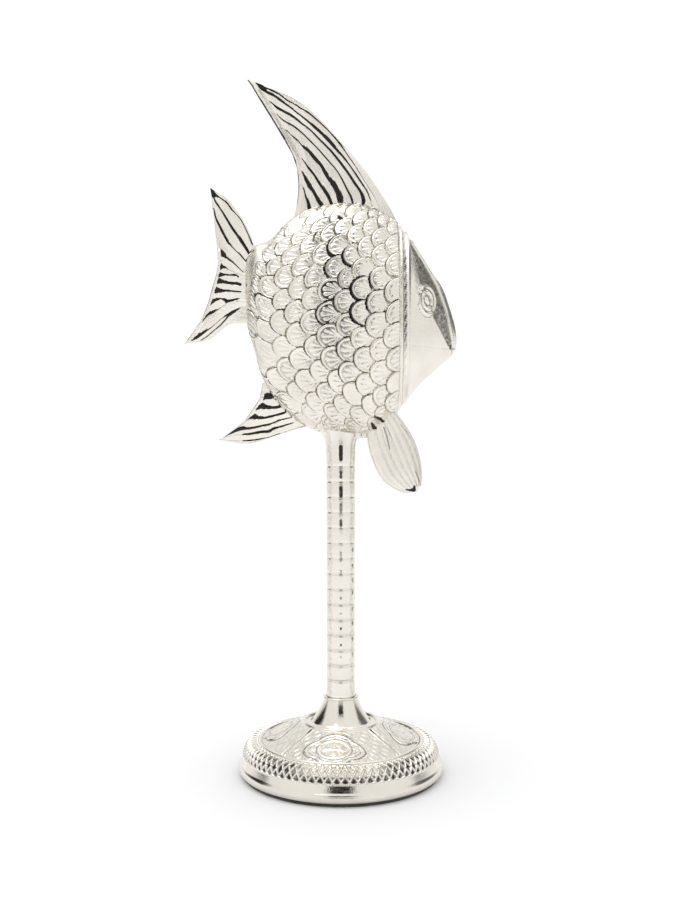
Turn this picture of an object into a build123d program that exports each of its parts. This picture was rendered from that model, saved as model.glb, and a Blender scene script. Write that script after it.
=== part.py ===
from build123d import *
import math
import os

os.makedirs("parts", exist_ok=True)

# A polished cast fish on a ringed stem and a round embossed base.
# Millimetres. The origin is on the table under the stem's axis, +Z is up,
# the fish looks towards +X and its right side faces -Y.

# Base and what closes it
base_radius = 60.0
felt_thickness = 1.5
felt_inset = 2.6
rim_radius = 3.4
rim_shoulder = 50.0
rim_height = 9.9
band_inset = 3.1
band_width = 8.5
band_height = 8.0
band_bulge = 3.6
ring_bead_radius = 0.9
plate_rise = 10.3
collar_foot_radius = 17.6
collar_top_radius = 10.0
collar_height = 15.2
collar_cove = 0.9
lip_radius = 0.6
centre_bead_radius = 1.1
centre_bead_gap = 2.8
base_wall = 3.6
hub_radius = 13.0
hub_depth = 6.0
socket_depth = 10.0

# Medallions on the plate of the base, and the double straps between them
medallion_count = 4
medallion_width = 32.4
medallion_margin = 0.6
medallion_height = 0.7
medallion_line = 1.1
medallion_turn = 6.0
rosette_length = 16.8
rosette_width = 13.0
strap_gap = 2.6
strap_line = 1.0

# Stem
stem_radius = 8.6
stem_length = 162.7
stem_clearance = 0.15
score_count = 15
score_pitch = 8.97
score_first = 19.8
score_depth = 0.75
flare_radius = 17.0
flare_drop = 4.5
flare_rise = 9.0
spigot_radius = 6.0
spigot_length = 16.0
boss_wall = 4.0

# Tie bolt between base and stem
bolt_radius = 4.0
bolt_hole_radius = 4.5
bolt_length = 32.0
bolt_head_across = 13.0
bolt_head_height = 5.3
washer_radius = 8.0
washer_thickness = 1.6
spring_washer_radius = 6.9
spring_washer_thickness = 2.0
spring_washer_slit = 1.6
thread_clearance = 0.1

# Fish body, measured on the middle plane
body_length = 125.5
body_depth = 136.0
body_thickness = 60.0
body_back = 57.0
body_wall = 3.5
belly_gap = 0.3
gill_rim_height = 0.9
gill_groove_width = 1.4
gill_groove_depth = 0.6

# Overlapping scales from the gill band to the tail, each with a raised rim at its free edge
scale_length = 8.0
scale_half_width = 7.3
scale_rim = 3.0
scale_height = 0.7
scale_pitch = 13.2
scale_column_pitch = 9.1
scale_gap = 3.3
scale_turn = 68.0
saddle_margin = 1.0

# Eye and mouth
eye_radius = 8.2
eye_ring_width = 2.2
eye_ring_height = 1.1
pupil_radius = 4.8
pupil_height = 1.5
eye_turn = 41.0
eye_bed = 4.0
mouth_length = 13.0
mouth_width = 1.0
mouth_depth = 1.2

# Fins: how far each one stands out of the body, and its thickness
dorsal_sweep = 89.9
dorsal_rise = 87.0
dorsal_thickness = 6.4
dorsal_tip_thickness = 3.2
tail_reach = 36.4
tail_height = 94.6
tail_thickness = 6.4
tail_tip_thickness = 3.6
anal_sweep = 57.4
anal_drop = 11.1
anal_thickness = 6.0
anal_tip_thickness = 3.2
fin_edge = 0.9
fin_clearance = 0.15
groove_depth = 1.0
groove_tip = 0.5
groove_root = 2.3
pelvic_length = 44.5
pelvic_width = 25.6
pelvic_thickness = 3.6
pelvic_spread = 8.0
pelvic_splay = 7.0
pelvic_tilt = 21.8
pelvic_tab = 9.0
pelvic_edge = 0.9
pelvic_groove_width = 1.2

# Overrun of a cut past the face it opens, and of a fin's blank before it is thinned
overrun = 1.0
fin_reach = 8.0

# Heights that follow from the sizes above
base_seat_z = felt_thickness
rim_centre_z = base_seat_z + rim_radius
rim_centre_r = base_radius - rim_radius
band_foot_r = base_radius - band_inset
band_foot_z = base_seat_z + rim_height
band_top_r = band_foot_r - band_width
band_top_z = band_foot_z + band_height
plate_top_r = collar_foot_radius + centre_bead_gap + 2 * centre_bead_radius
plate_top_z = band_top_z + plate_rise
collar_top_z = plate_top_z + collar_height
socket_floor_z = collar_top_z - socket_depth
hub_floor_z = socket_floor_z - hub_depth
stem_top_z = socket_floor_z + stem_length
body_bottom_z = stem_top_z
body_top_z = body_bottom_z + body_depth

# Side view and thickness of the body: along, top, bottom and half thickness.
# The tail root is first and the nose last; the gill band lies between two of them.
body_shares = (
    (0.000, 0.828, 0.504, 0.180),
    (0.040, 0.834, 0.428, 0.320),
    (0.104, 0.847, 0.246, 0.490),
    (0.191, 0.912, 0.121, 0.700),
    (0.311, 0.974, 0.044, 0.900),
    (0.454, 1.000, 0.004, 1.000),
    (0.574, 0.989, 0.004, 0.993),
    (0.669, 0.945, 0.060, 0.940),
    (0.730, 0.908, 0.122, 0.893),
    (0.759, 0.882, 0.152, 0.860),
    (0.821, 0.801, 0.221, 0.687),
    (0.884, 0.710, 0.276, 0.460),
    (0.940, 0.629, 0.322, 0.273),
    (0.976, 0.530, 0.351, 0.167),
    (1.000, 0.456, 0.379, 0.087),
)
gill_shares = body_shares[8:10]
cavity_shares = body_shares[2:12]


def body_point(along_share, up_share):
    """A point of the side view, given as shares of the body's length and depth."""
    return (along_share * body_length - body_back, body_bottom_z + up_share * body_depth)


def body_section(along_share):
    """Middle height, half height and half thickness of the body at a share of its length."""
    pairs = zip(body_shares, body_shares[1:])
    near, far = next(p for p in pairs if p[0][0] <= along_share <= p[1][0])
    blend_share = (along_share - near[0]) / (far[0] - near[0])
    top, bottom, thick = (a + (b - a) * blend_share for a, b in zip(near[1:], far[1:]))
    middle_z = body_bottom_z + (top + bottom) / 2 * body_depth
    return (middle_z, (top - bottom) / 2 * body_depth, thick * body_thickness / 2)


def body_form(station_shares, grow, ruled=False):
    """The rounded body through its sections, grown outwards or shrunk by one distance."""
    with BuildPart() as form:
        for along, top, bottom, thick in station_shares:
            x, top_z = body_point(along, top)
            bottom_z = body_point(along, bottom)[1]
            with BuildSketch(Plane.YZ.offset(x)):
                with Locations((0, (top_z + bottom_z) / 2)):
                    Ellipse(thick * body_thickness / 2 + grow, (top_z - bottom_z) / 2 + grow)
        loft(ruled=ruled)
    return form.part


def place(anchor, size, shares):
    """A point set out from an anchor by shares of a fin's length and height."""
    return (anchor[0] + shares[0] * size[0], anchor[1] + shares[1] * size[1])


def fin_plate(curves, root):
    """A flat plate within curved edges, with a straight sided tab at its root."""
    with BuildPart() as plate:
        with BuildSketch(Plane.XZ):
            with BuildLine():
                for curve in curves:
                    Spline(*curve)
                Polyline(curves[-1][-1], *root, curves[0][0])
            make_face()
        extrude(amount=fin_reach, both=True)
    return plate.part


def taper(start, end, start_half, end_half, upright):
    """A wide wedge about the middle plane, thinner from one end to the other."""
    with BuildPart() as wedge:
        with BuildSketch(Plane.YZ if upright else Plane.XY):
            with BuildLine():
                if upright:
                    corners = ((start_half, start), (end_half, end), (-end_half, end), (-start_half, start))
                else:
                    corners = ((start, start_half), (end, end_half), (end, -end_half), (start, -start_half))
                Polyline(*corners, close=True)
            make_face()
        extrude(amount=2 * body_top_z, both=True)
    return wedge.part


def ray_prisms(rays):
    """Narrow curved prisms along the grooves of a fin, wide at the body and fine at its tip."""
    wide, thin = groove_root / 2, groove_tip / 2
    middle_half = (wide + thin) / 2
    with BuildPart() as prisms:
        with BuildSketch(Plane.XZ):
            for root, middle, tip in rays:
                run = math.atan2(tip[1] - root[1], tip[0] - root[0])
                across = (-math.sin(run), math.cos(run))
                upper = [place(p, (half, half), across) for p, half in
                         ((root, wide), (middle, middle_half), (tip, thin))]
                lower = [place(p, (-half, -half), across) for p, half in
                         ((root, wide), (middle, middle_half), (tip, thin))]
                with BuildLine():
                    ThreePointArc(*upper)
                    Line(upper[2], lower[2])
                    ThreePointArc(*reversed(lower))
                    Line(lower[0], upper[0])
                make_face()
        extrude(amount=fin_reach, both=True)
    return prisms.part


def cast_fin(plate, rays, start, end, root_half, tip_half, upright):
    """A tapered fin whose rays stand between grooves of one depth on both faces."""
    with BuildPart() as floor:
        add(ray_prisms(rays))
        add(taper(start, end, root_half - groove_depth, tip_half - groove_depth, upright), mode=Mode.SUBTRACT)
    with BuildPart() as fin:
        add(plate)
        add(taper(start, end, root_half, tip_half, upright), mode=Mode.INTERSECT)
        chamfer(fin.edges().filter_by(GeomType.BSPLINE), fin_edge)
        add(floor.part, mode=Mode.SUBTRACT)
    return fin.part


# Felt pad
with BuildPart() as felt_pad:
    with BuildSketch():
        Circle(base_radius - felt_inset)
    extrude(amount=felt_thickness)
felt_pad.part.label = "felt_pad"
export_step(felt_pad.part, "parts/felt_pad.step")

# Base: a turned casting, open below, with a collar for the stem
with BuildPart() as base:
    with BuildSketch(Plane.XZ):
        with BuildLine():
            seat_r = base_radius - felt_inset
            inner_r = seat_r - base_wall
            Line((inner_r, base_seat_z), (rim_centre_r, base_seat_z))
            shoulder = (
                rim_centre_r + rim_radius * math.cos(math.radians(rim_shoulder)),
                rim_centre_z + rim_radius * math.sin(math.radians(rim_shoulder)),
            )
            ThreePointArc((rim_centre_r, base_seat_z), (base_radius, rim_centre_z), shoulder)
            Line(shoulder, (band_foot_r, band_foot_z))
            ThreePointArc(
                (band_foot_r, band_foot_z),
                ((band_foot_r + band_top_r + band_bulge) / 2, (band_foot_z + band_top_z + band_bulge) / 2),
                (band_top_r, band_top_z),
            )
            ring_in = band_top_r - 2 * ring_bead_radius
            ThreePointArc(
                (band_top_r, band_top_z),
                (band_top_r - ring_bead_radius, band_top_z + ring_bead_radius),
                (ring_in, band_top_z),
            )
            Line((ring_in, band_top_z), (plate_top_r, plate_top_z))
            bead_in = plate_top_r - 2 * centre_bead_radius
            ThreePointArc(
                (plate_top_r, plate_top_z),
                (plate_top_r - centre_bead_radius, plate_top_z + centre_bead_radius),
                (bead_in, plate_top_z),
            )
            Line((bead_in, plate_top_z), (collar_foot_radius, plate_top_z))
            lip_z = collar_top_z - 2 * lip_radius
            ThreePointArc(
                (collar_foot_radius, plate_top_z),
                (
                    (collar_foot_radius + collar_top_radius) / 2 - collar_cove,
                    (plate_top_z + lip_z) / 2 - collar_cove,
                ),
                (collar_top_radius, lip_z),
            )
            ThreePointArc(
                (collar_top_radius, lip_z),
                (collar_top_radius + lip_radius, lip_z + lip_radius),
                (collar_top_radius, collar_top_z),
            )
            socket_r = stem_radius + stem_clearance
            Polyline(
                (collar_top_radius, collar_top_z),
                (socket_r, collar_top_z),
                (socket_r, socket_floor_z),
                (bolt_hole_radius, socket_floor_z),
                (bolt_hole_radius, hub_floor_z),
                (hub_radius, hub_floor_z),
                (hub_radius + base_wall, plate_top_z - base_wall),
                (plate_top_r, plate_top_z - base_wall),
                (band_top_r - base_wall, band_top_z - base_wall),
                (inner_r, band_foot_z),
                (inner_r, base_seat_z),
            )
        make_face()
    revolve(axis=Axis.Z)

# Raised outlines of pointed ovals, each with a round rosette, spaced evenly on the plate
medallion_start = plate_top_r + medallion_margin
medallion_end = band_top_r - 2 * ring_bead_radius - medallion_margin
medallion_middle = (medallion_start + medallion_end) / 2


def pointed_oval(inset):
    """A pointed oval that lies across a radius of the base."""
    with BuildSketch(mode=Mode.PRIVATE) as oval:
        with BuildLine():
            for radius in (medallion_start + inset, medallion_end - inset):
                ThreePointArc(
                    (medallion_middle, -medallion_width / 2 + inset),
                    (radius, 0),
                    (medallion_middle, medallion_width / 2 - inset),
                )
        make_face()
    return oval.sketch


with BuildPart() as medallion_prisms:
    with BuildSketch(Plane.XY.offset(band_top_z - base_wall / 2)):
        with PolarLocations(0, medallion_count, start_angle=-90 - medallion_turn):
            add(pointed_oval(0))
        with PolarLocations(0, medallion_count, start_angle=-90 - medallion_turn):
            add(pointed_oval(medallion_line), mode=Mode.SUBTRACT)
        with PolarLocations(medallion_middle, medallion_count, start_angle=-90 - medallion_turn):
            Ellipse(rosette_width / 2, rosette_length / 2)
            Ellipse(rosette_width / 2 - medallion_line, rosette_length / 2 - medallion_line, mode=Mode.SUBTRACT)
            RegularPolygon(radius=2 * medallion_line, side_count=6)
        for side in (1, -1):
            with PolarLocations(0, medallion_count, start_angle=-90 + 180 / medallion_count):
                with Locations((medallion_middle, side * strap_gap / 2)):
                    Rectangle(medallion_end - medallion_start, strap_line)
    extrude(amount=plate_rise + base_wall)

with BuildPart() as plate_skin:
    with BuildSketch(Plane.XZ):
        with BuildLine():
            Polyline(
                (ring_in, band_top_z + medallion_height),
                (plate_top_r, plate_top_z + medallion_height),
                (plate_top_r, plate_top_z - base_wall / 2),
                (ring_in, band_top_z - base_wall / 2),
                close=True,
            )
        make_face()
    revolve(axis=Axis.Z)
    add(medallion_prisms.part, mode=Mode.INTERSECT)

with base:
    add(plate_skin.part)
base.part.label = "base"
export_step(base.part, "parts/base.step")

# Stem: a turned casting with scored rings, a flared saddle and a spigot for the belly
with BuildPart() as stem:
    with BuildSketch(Plane.XZ):
        with BuildLine():
            flare_z = stem_top_z - flare_drop
            flare_top_z = stem_top_z + flare_rise
            Polyline(
                (spigot_radius, flare_top_z),
                (spigot_radius, stem_top_z + spigot_length),
                (0, stem_top_z + spigot_length),
                (0, socket_floor_z),
                (stem_radius, socket_floor_z),
                (stem_radius, flare_z),
            )
            flare_mid = ((stem_radius * 3 + flare_radius) / 4, stem_top_z)
            Spline(
                (stem_radius, flare_z), flare_mid, (flare_radius, flare_top_z), tangents=((0, 1), (1, 1))
            )
            Line((flare_radius, flare_top_z), (spigot_radius, flare_top_z))
        make_face()
    revolve(axis=Axis.Z)
    with BuildSketch(Plane.XZ):
        for index in range(score_count):
            with Locations((stem_radius, socket_floor_z + score_first + index * score_pitch)):
                RegularPolygon(radius=score_depth, side_count=4)
    revolve(axis=Axis.Z, mode=Mode.SUBTRACT)
    with BuildSketch(Plane.XY.offset(socket_floor_z)):
        Circle(bolt_radius + thread_clearance)
    extrude(amount=bolt_length - hub_depth, mode=Mode.SUBTRACT)

belly_cutter = body_form(body_shares, belly_gap)
with BuildPart() as spigot_guard:
    with BuildSketch(Plane.XY.offset(stem_top_z - flare_drop)):
        Circle(spigot_radius)
    extrude(amount=flare_drop + spigot_length + overrun)
with BuildPart() as saddle_cut:
    add(belly_cutter)
    add(spigot_guard.part, mode=Mode.SUBTRACT)
with stem:
    add(saddle_cut.part, mode=Mode.SUBTRACT)
stem.part.label = "stem"
export_step(stem.part, "parts/stem.step")

# Tie bolt, spring washer and plain washer below the hub of the base
head_top_z = hub_floor_z - washer_thickness - spring_washer_thickness
with BuildPart() as tie_bolt:
    with BuildSketch(Plane.XY.offset(head_top_z - bolt_head_height)):
        RegularPolygon(radius=bolt_head_across / 2, side_count=6, major_radius=False)
    extrude(amount=bolt_head_height)
    with BuildSketch(Plane.XY.offset(head_top_z)):
        Circle(bolt_radius)
    extrude(amount=bolt_length)
tie_bolt.part.label = "tie_bolt"
export_step(tie_bolt.part, "parts/tie_bolt.step")

with BuildPart() as spring_washer:
    with BuildSketch(Plane.XY.offset(head_top_z)):
        Circle(spring_washer_radius)
        Circle(bolt_radius + thread_clearance, mode=Mode.SUBTRACT)
        with Locations((spring_washer_radius, 0)):
            Rectangle(2 * spring_washer_radius, spring_washer_slit, mode=Mode.SUBTRACT)
    extrude(amount=spring_washer_thickness)
spring_washer.part.label = "spring_washer"
export_step(spring_washer.part, "parts/spring_washer.step")

with BuildPart() as plain_washer:
    with BuildSketch(Plane.XY.offset(hub_floor_z - washer_thickness)):
        Circle(washer_radius)
        Circle(bolt_hole_radius, mode=Mode.SUBTRACT)
    extrude(amount=washer_thickness)
plain_washer.part.label = "plain_washer"
export_step(plain_washer.part, "parts/plain_washer.step")

# Dorsal fin: swept back to a point, its root between the body shells
dorsal_front = body_point(0.728, 0.913)
dorsal_size = (-dorsal_sweep, dorsal_rise)
dorsal_front_shares = ((0, 0), (0.155, 0.278), (0.382, 0.570), (0.650, 0.843), (1, 1))
dorsal_rear_shares = ((1, 1), (0.880, 0.778), (0.742, 0.540), (0.672, 0.300), (0.730, 0.078))
dorsal_rear_foot = body_point(0.070, 0.826)
dorsal_tab = (body_point(0.170, 0.840), body_point(0.311, 0.900), body_point(0.574, 0.915), body_point(0.669, 0.870))
dorsal_front_edge = [place(dorsal_front, dorsal_size, s) for s in dorsal_front_shares]
dorsal_rear_edge = [place(dorsal_front, dorsal_size, s) for s in dorsal_rear_shares] + [dorsal_rear_foot]

dorsal_ray_shares = (
    ((0.240, 0.140), (0.430, 0.470), (0.830, 0.880)),
    ((0.335, 0.145), (0.485, 0.440), (0.820, 0.830)),
    ((0.430, 0.145), (0.545, 0.400), (0.810, 0.770)),
    ((0.520, 0.135), (0.600, 0.340), (0.785, 0.690)),
    ((0.600, 0.120), (0.650, 0.270), (0.755, 0.550)),
    ((0.670, 0.100), (0.685, 0.190), (0.718, 0.330)),
)
dorsal_rays = [[place(dorsal_front, dorsal_size, s) for s in ray] for ray in dorsal_ray_shares]
dorsal_curves = (dorsal_front_edge, dorsal_rear_edge)
dorsal_foot_z = dorsal_rear_foot[1]
dorsal_tip_z = dorsal_front[1] + dorsal_rise
with BuildPart() as dorsal_fin:
    add(
        cast_fin(
            fin_plate(dorsal_curves, dorsal_tab),
            dorsal_rays,
            dorsal_foot_z - dorsal_thickness,
            dorsal_tip_z + overrun,
            dorsal_thickness / 2,
            dorsal_tip_thickness / 2,
            upright=True,
        )
    )
dorsal_fin.part.label = "dorsal_fin"
export_step(dorsal_fin.part, "parts/dorsal_fin.step")

# Tail fin: a fan with a hollow rear edge
tail_anchor = body_point(0, 0.666)
tail_size = (-tail_reach, tail_height)
tail_upper_shares = ((-0.137, 0.282), (0.090, 0.430), (0.300, 0.548), (0.560, 0.600))
tail_rear_shares = ((0.560, 0.600), (0.480, 0.320), (0.450, 0.150), (0.590, -0.050), (1.000, -0.380))
tail_lower_shares = ((1.000, -0.380), (0.560, -0.355), (0.200, -0.243), (0.000, -0.235))
tail_tab = (body_point(0.090, 0.600), body_point(0.090, 0.740))
tail_upper_edge = [place(tail_anchor, tail_size, s) for s in tail_upper_shares]
tail_rear_edge = [place(tail_anchor, tail_size, s) for s in tail_rear_shares]
tail_lower_edge = [place(tail_anchor, tail_size, s) for s in tail_lower_shares]
tail_ray_shares = (
    ((0.020, 0.200), (0.230, 0.370), (0.490, 0.540)),
    ((0.040, 0.140), (0.240, 0.280), (0.455, 0.440)),
    ((0.050, 0.085), (0.230, 0.180), (0.425, 0.290)),
    ((0.060, 0.030), (0.220, 0.080), (0.400, 0.140)),
    ((0.060, -0.025), (0.240, -0.010), (0.430, 0.000)),
    ((0.050, -0.080), (0.270, -0.090), (0.520, -0.100)),
    ((0.040, -0.130), (0.320, -0.170), (0.660, -0.200)),
    ((0.020, -0.180), (0.380, -0.240), (0.790, -0.290)),
)
tail_rays = [[place(tail_anchor, tail_size, s) for s in ray] for ray in tail_ray_shares]
tail_curves = (tail_upper_edge, tail_rear_edge, tail_lower_edge)
with BuildPart() as tail_fin:
    add(
        cast_fin(
            fin_plate(tail_curves, tail_tab),
            tail_rays,
            tail_tab[0][0] + overrun,
            tail_anchor[0] - tail_reach - overrun,
            tail_thickness / 2,
            tail_tip_thickness / 2,
            upright=False,
        )
    )
tail_fin.part.label = "tail_fin"
export_step(tail_fin.part, "parts/tail_fin.step")

# Anal fin: swept back below the tail, with its root along the belly
anal_front = body_point(0.323, 0.045)
anal_size = (-anal_sweep, -anal_drop)
anal_lower_shares = ((0, 0), (0.205, 0.190), (0.420, 0.560), (0.630, 0.920), (1, 0.700))
anal_upper_foot = body_point(0.085, 0.232)
anal_upper_shares = ((1, 0.700), (0.850, -0.060), (0.690, -0.640), (0.570, -1.420))
anal_tab = (body_point(0.190, 0.230), body_point(0.300, 0.110))
anal_lower_edge = [place(anal_front, anal_size, s) for s in anal_lower_shares]
anal_upper_edge = [place(anal_front, anal_size, s) for s in anal_upper_shares] + [anal_upper_foot]
anal_ray_shares = (
    ((0.480, -1.430), (0.560, -1.150), (0.640, -0.820)),
    ((0.420, -1.120), (0.570, -0.800), (0.720, -0.420)),
    ((0.350, -0.820), (0.570, -0.450), (0.800, -0.040)),
    ((0.270, -0.520), (0.560, -0.120), (0.860, 0.260)),
    ((0.200, -0.240), (0.500, 0.200), (0.840, 0.560)),
)
anal_rays = [[place(anal_front, anal_size, s) for s in ray] for ray in anal_ray_shares]
anal_curves = (anal_lower_edge, anal_upper_edge)
with BuildPart() as anal_fin:
    add(
        cast_fin(
            fin_plate(anal_curves, anal_tab),
            anal_rays,
            anal_front[0] + overrun,
            anal_front[0] - anal_sweep - overrun,
            anal_thickness / 2,
            anal_tip_thickness / 2,
            upright=False,
        )
    )
anal_fin.part.label = "anal_fin"
export_step(anal_fin.part, "parts/anal_fin.step")

# Pelvic fins: a pair of blunt leaves that hang from the belly and splay outwards
pelvic_root = body_point(0.652, 0.055)
tilt_x = math.sin(math.radians(pelvic_tilt))
tilt_z = math.cos(math.radians(pelvic_tilt))
splay_y = math.sin(math.radians(pelvic_splay))
splay_x = math.cos(math.radians(pelvic_splay))
pelvic_plane = Plane(
    origin=(pelvic_root[0], -pelvic_spread, pelvic_root[1]),
    x_dir=(tilt_z, 0, tilt_x),
    z_dir=(-tilt_x * splay_y, -splay_x, tilt_z * splay_y),
)
pelvic_outline_shares = (
    (-0.410, 0.000),
    (-0.525, -0.310),
    (-0.490, -0.670),
    (-0.210, -0.920),
    (0.100, -1.000),
    (0.270, -0.930),
    (0.410, -0.740),
    (0.490, -0.390),
    (0.385, 0.000),
)
pelvic_rib_shares = (
    ((-0.130, -0.040), (-0.160, -0.450), (-0.110, -0.860)),
    ((0.090, -0.040), (0.090, -0.450), (0.100, -0.860)),
)


def pelvic_leaf(grow=0, edge=0):
    outline = [(x * pelvic_width, y * pelvic_length) for x, y in pelvic_outline_shares]
    tab_half = pelvic_width / 4 + grow
    with BuildPart() as leaf:
        with BuildSketch(pelvic_plane):
            with BuildLine():
                Spline(*outline)
                Polyline(outline[-1], (tab_half, 0), (tab_half, pelvic_tab))
                Polyline((tab_half, pelvic_tab), (-tab_half, pelvic_tab), (-tab_half, 0), outline[0])
            make_face()
        extrude(amount=pelvic_thickness / 2 + grow, both=True)
        if edge > 0:
            chamfer(leaf.edges().filter_by(GeomType.BSPLINE), edge)
    return leaf.part


with BuildPart() as right_pelvic_fin:
    add(pelvic_leaf(edge=pelvic_edge))
    with BuildSketch(pelvic_plane.offset(pelvic_thickness / 2 - groove_depth / 2)):
        for root, middle, tip in pelvic_rib_shares:
            with BuildLine():
                points = [(x * pelvic_width, y * pelvic_length) for x, y in (root, middle, tip)]
                ThreePointArc(*points)
                wide_middle = (points[1][0] + pelvic_groove_width, points[1][1])
                ThreePointArc(points[0], wide_middle, points[2])
            make_face()
    extrude(amount=groove_depth, mode=Mode.SUBTRACT)
right_pelvic_fin.part.label = "right_pelvic_fin"
export_step(right_pelvic_fin.part, "parts/right_pelvic_fin.step")

with BuildPart() as left_pelvic_fin:
    mirror(right_pelvic_fin.part, about=Plane.XZ)
left_pelvic_fin.part.label = "left_pelvic_fin"
export_step(left_pelvic_fin.part, "parts/left_pelvic_fin.step")

# Body: two hollow cast shells that meet on the middle plane
eye_share = 0.848
eye_x, eye_z = body_point(eye_share, 0.559)
eye_y = body_section(eye_share)[2]
eye_normal = (math.sin(math.radians(eye_turn)), -math.cos(math.radians(eye_turn)), 0)
eye_plane = Plane(origin=(eye_x, -eye_y, eye_z), x_dir=(0, 0, 1), z_dir=eye_normal)
mouth_x, mouth_z = body_point(1, 0.383)

# What stays solid behind the line of the mouth
mouth_shares = body_shares[11:]
with BuildPart() as mouth_core:
    add(body_form(mouth_shares, -mouth_depth))

whole_body = body_form(body_shares, 0)

# The boss that takes the spigot, trimmed to the outside of the belly
with BuildPart() as boss:
    with BuildSketch(Plane.XY.offset(body_bottom_z)):
        Circle(spigot_radius + boss_wall)
    extrude(amount=spigot_length + boss_wall)
    add(whole_body, mode=Mode.INTERSECT)

# Scales lie in columns that bow towards the tail, the ones nearer to the head on top.
# The bow's widest line, its reach above and its reach below are shares of the body's depth.
bow_line_share, bow_rise_share, bow_drop_share = 0.474, 0.647, 0.574
gill_back, gill_front = (body_point(station[0], 0)[0] for station in gill_shares)


def scale_place(behind, girth):
    """Side view place of a scale, its foreshortening both ways and its turn round the body.

    The scale lies behind the gill band and, along the body's girth, off its widest line.
    """
    line_z = body_point(0, bow_line_share)[1]
    bow_share = 1
    for _ in range(3):
        x = gill_back - behind * bow_share
        middle_z, half_height, half_thick = body_section((x + body_back) / body_length)
        quarter = Edge.make_ellipse(half_thick, half_height, start_angle=0, end_angle=90)
        reach = min(abs(girth), quarter.length)
        rise = quarter.position_at(reach, position_mode=PositionMode.LENGTH).Y
        lean_share = quarter.tangent_at(reach, position_mode=PositionMode.LENGTH).Y
        z = middle_z + math.copysign(rise, girth)
        bow_reach = (bow_rise_share if z > line_z else bow_drop_share) * body_depth
        bow_share = math.sqrt(max(0, 1 - ((z - line_z) / bow_reach) ** 2))
    turn = math.degrees(math.asin(min(1, rise / half_height)))
    return x, z, bow_share, lean_share, turn


saddle_z = body_bottom_z + flare_rise + scale_half_width + saddle_margin
scale_columns = int((gill_back + body_back - scale_gap) / scale_column_pitch)
scale_rows = int(body_depth / scale_pitch)
with BuildPart() as scales:
    with BuildSketch(Plane.XZ):
        for column in reversed(range(scale_columns)):
            for row in range(-scale_rows, scale_rows):
                behind = scale_gap + column * scale_column_pitch
                girth = (row + column % 2 / 2) * scale_pitch
                x, z, bow_share, lean_share, turn = scale_place(behind, girth)
                over_saddle = abs(x) < flare_radius + scale_length and z < saddle_z
                if turn < scale_turn and not over_saddle:
                    size = (scale_length * bow_share, scale_half_width * lean_share)
                    with Locations((x, z)):
                        Ellipse(*size)
                    with Locations((x + scale_rim, z)):
                        Ellipse(*size, mode=Mode.SUBTRACT)
    extrude(amount=body_thickness / 2 + overrun)
    add(body_form(body_shares, scale_height), mode=Mode.INTERSECT)

# The groove that runs round the gill band between its two rims
with BuildPart() as gill_groove:
    with BuildSketch(Plane.YZ.offset((gill_back + gill_front - gill_groove_width) / 2)):
        with Locations((0, (body_bottom_z + body_top_z) / 2)):
            Rectangle(2 * body_thickness, 2 * body_depth)
    extrude(amount=gill_groove_width)
    add(body_form(gill_shares, gill_rim_height - gill_groove_depth, ruled=True), mode=Mode.SUBTRACT)


def fin_slot(curves, tab, thickness):
    """Room for a fin's root, on the middle plane of the body."""
    with BuildPart() as slot:
        add(fin_plate(curves, tab))
        half = thickness / 2 + fin_clearance
        add(taper(-body_top_z, body_top_z, half, half, upright=False), mode=Mode.INTERSECT)
    return slot.part


fin_slots = (
    (dorsal_curves, dorsal_tab, dorsal_thickness),
    (tail_curves, tail_tab, tail_thickness),
    (anal_curves, anal_tab, anal_thickness),
)

with BuildPart() as right_body_shell:
    add(whole_body)
    add(scales.part)
    add(body_form(gill_shares, gill_rim_height, ruled=True))
    add(gill_groove.part, mode=Mode.SUBTRACT)
    with BuildSketch(eye_plane.offset(-eye_bed)):
        Circle(eye_radius)
        Circle(eye_radius - eye_ring_width, mode=Mode.SUBTRACT)
    extrude(amount=eye_bed + eye_ring_height)
    with BuildSketch(eye_plane.offset(-eye_bed)):
        Circle(pupil_radius)
    extrude(amount=eye_bed + pupil_height)
    add(body_form(cavity_shares, -body_wall), mode=Mode.SUBTRACT)
    add(boss.part)
    with BuildSketch(Plane.XY.offset(body_bottom_z - body_wall)):
        Circle(spigot_radius + stem_clearance)
    extrude(amount=spigot_length + body_wall + stem_clearance, mode=Mode.SUBTRACT)
    with BuildSketch(Plane.XZ):
        with Locations((mouth_x, mouth_z)):
            Rectangle(2 * mouth_length, mouth_width)
    extrude(amount=body_thickness, mode=Mode.SUBTRACT)
    add(mouth_core.part)
    for curves, tab, thickness in fin_slots:
        add(fin_slot(curves, tab, thickness), mode=Mode.SUBTRACT)
    add(pelvic_leaf(fin_clearance), mode=Mode.SUBTRACT)
    split(bisect_by=Plane.XZ, keep=Keep.TOP)
right_body_shell.part.label = "right_body_shell"
export_step(right_body_shell.part, "parts/right_body_shell.step")

with BuildPart() as left_body_shell:
    mirror(right_body_shell.part, about=Plane.XZ)
left_body_shell.part.label = "left_body_shell"
export_step(left_body_shell.part, "parts/left_body_shell.step")
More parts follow.
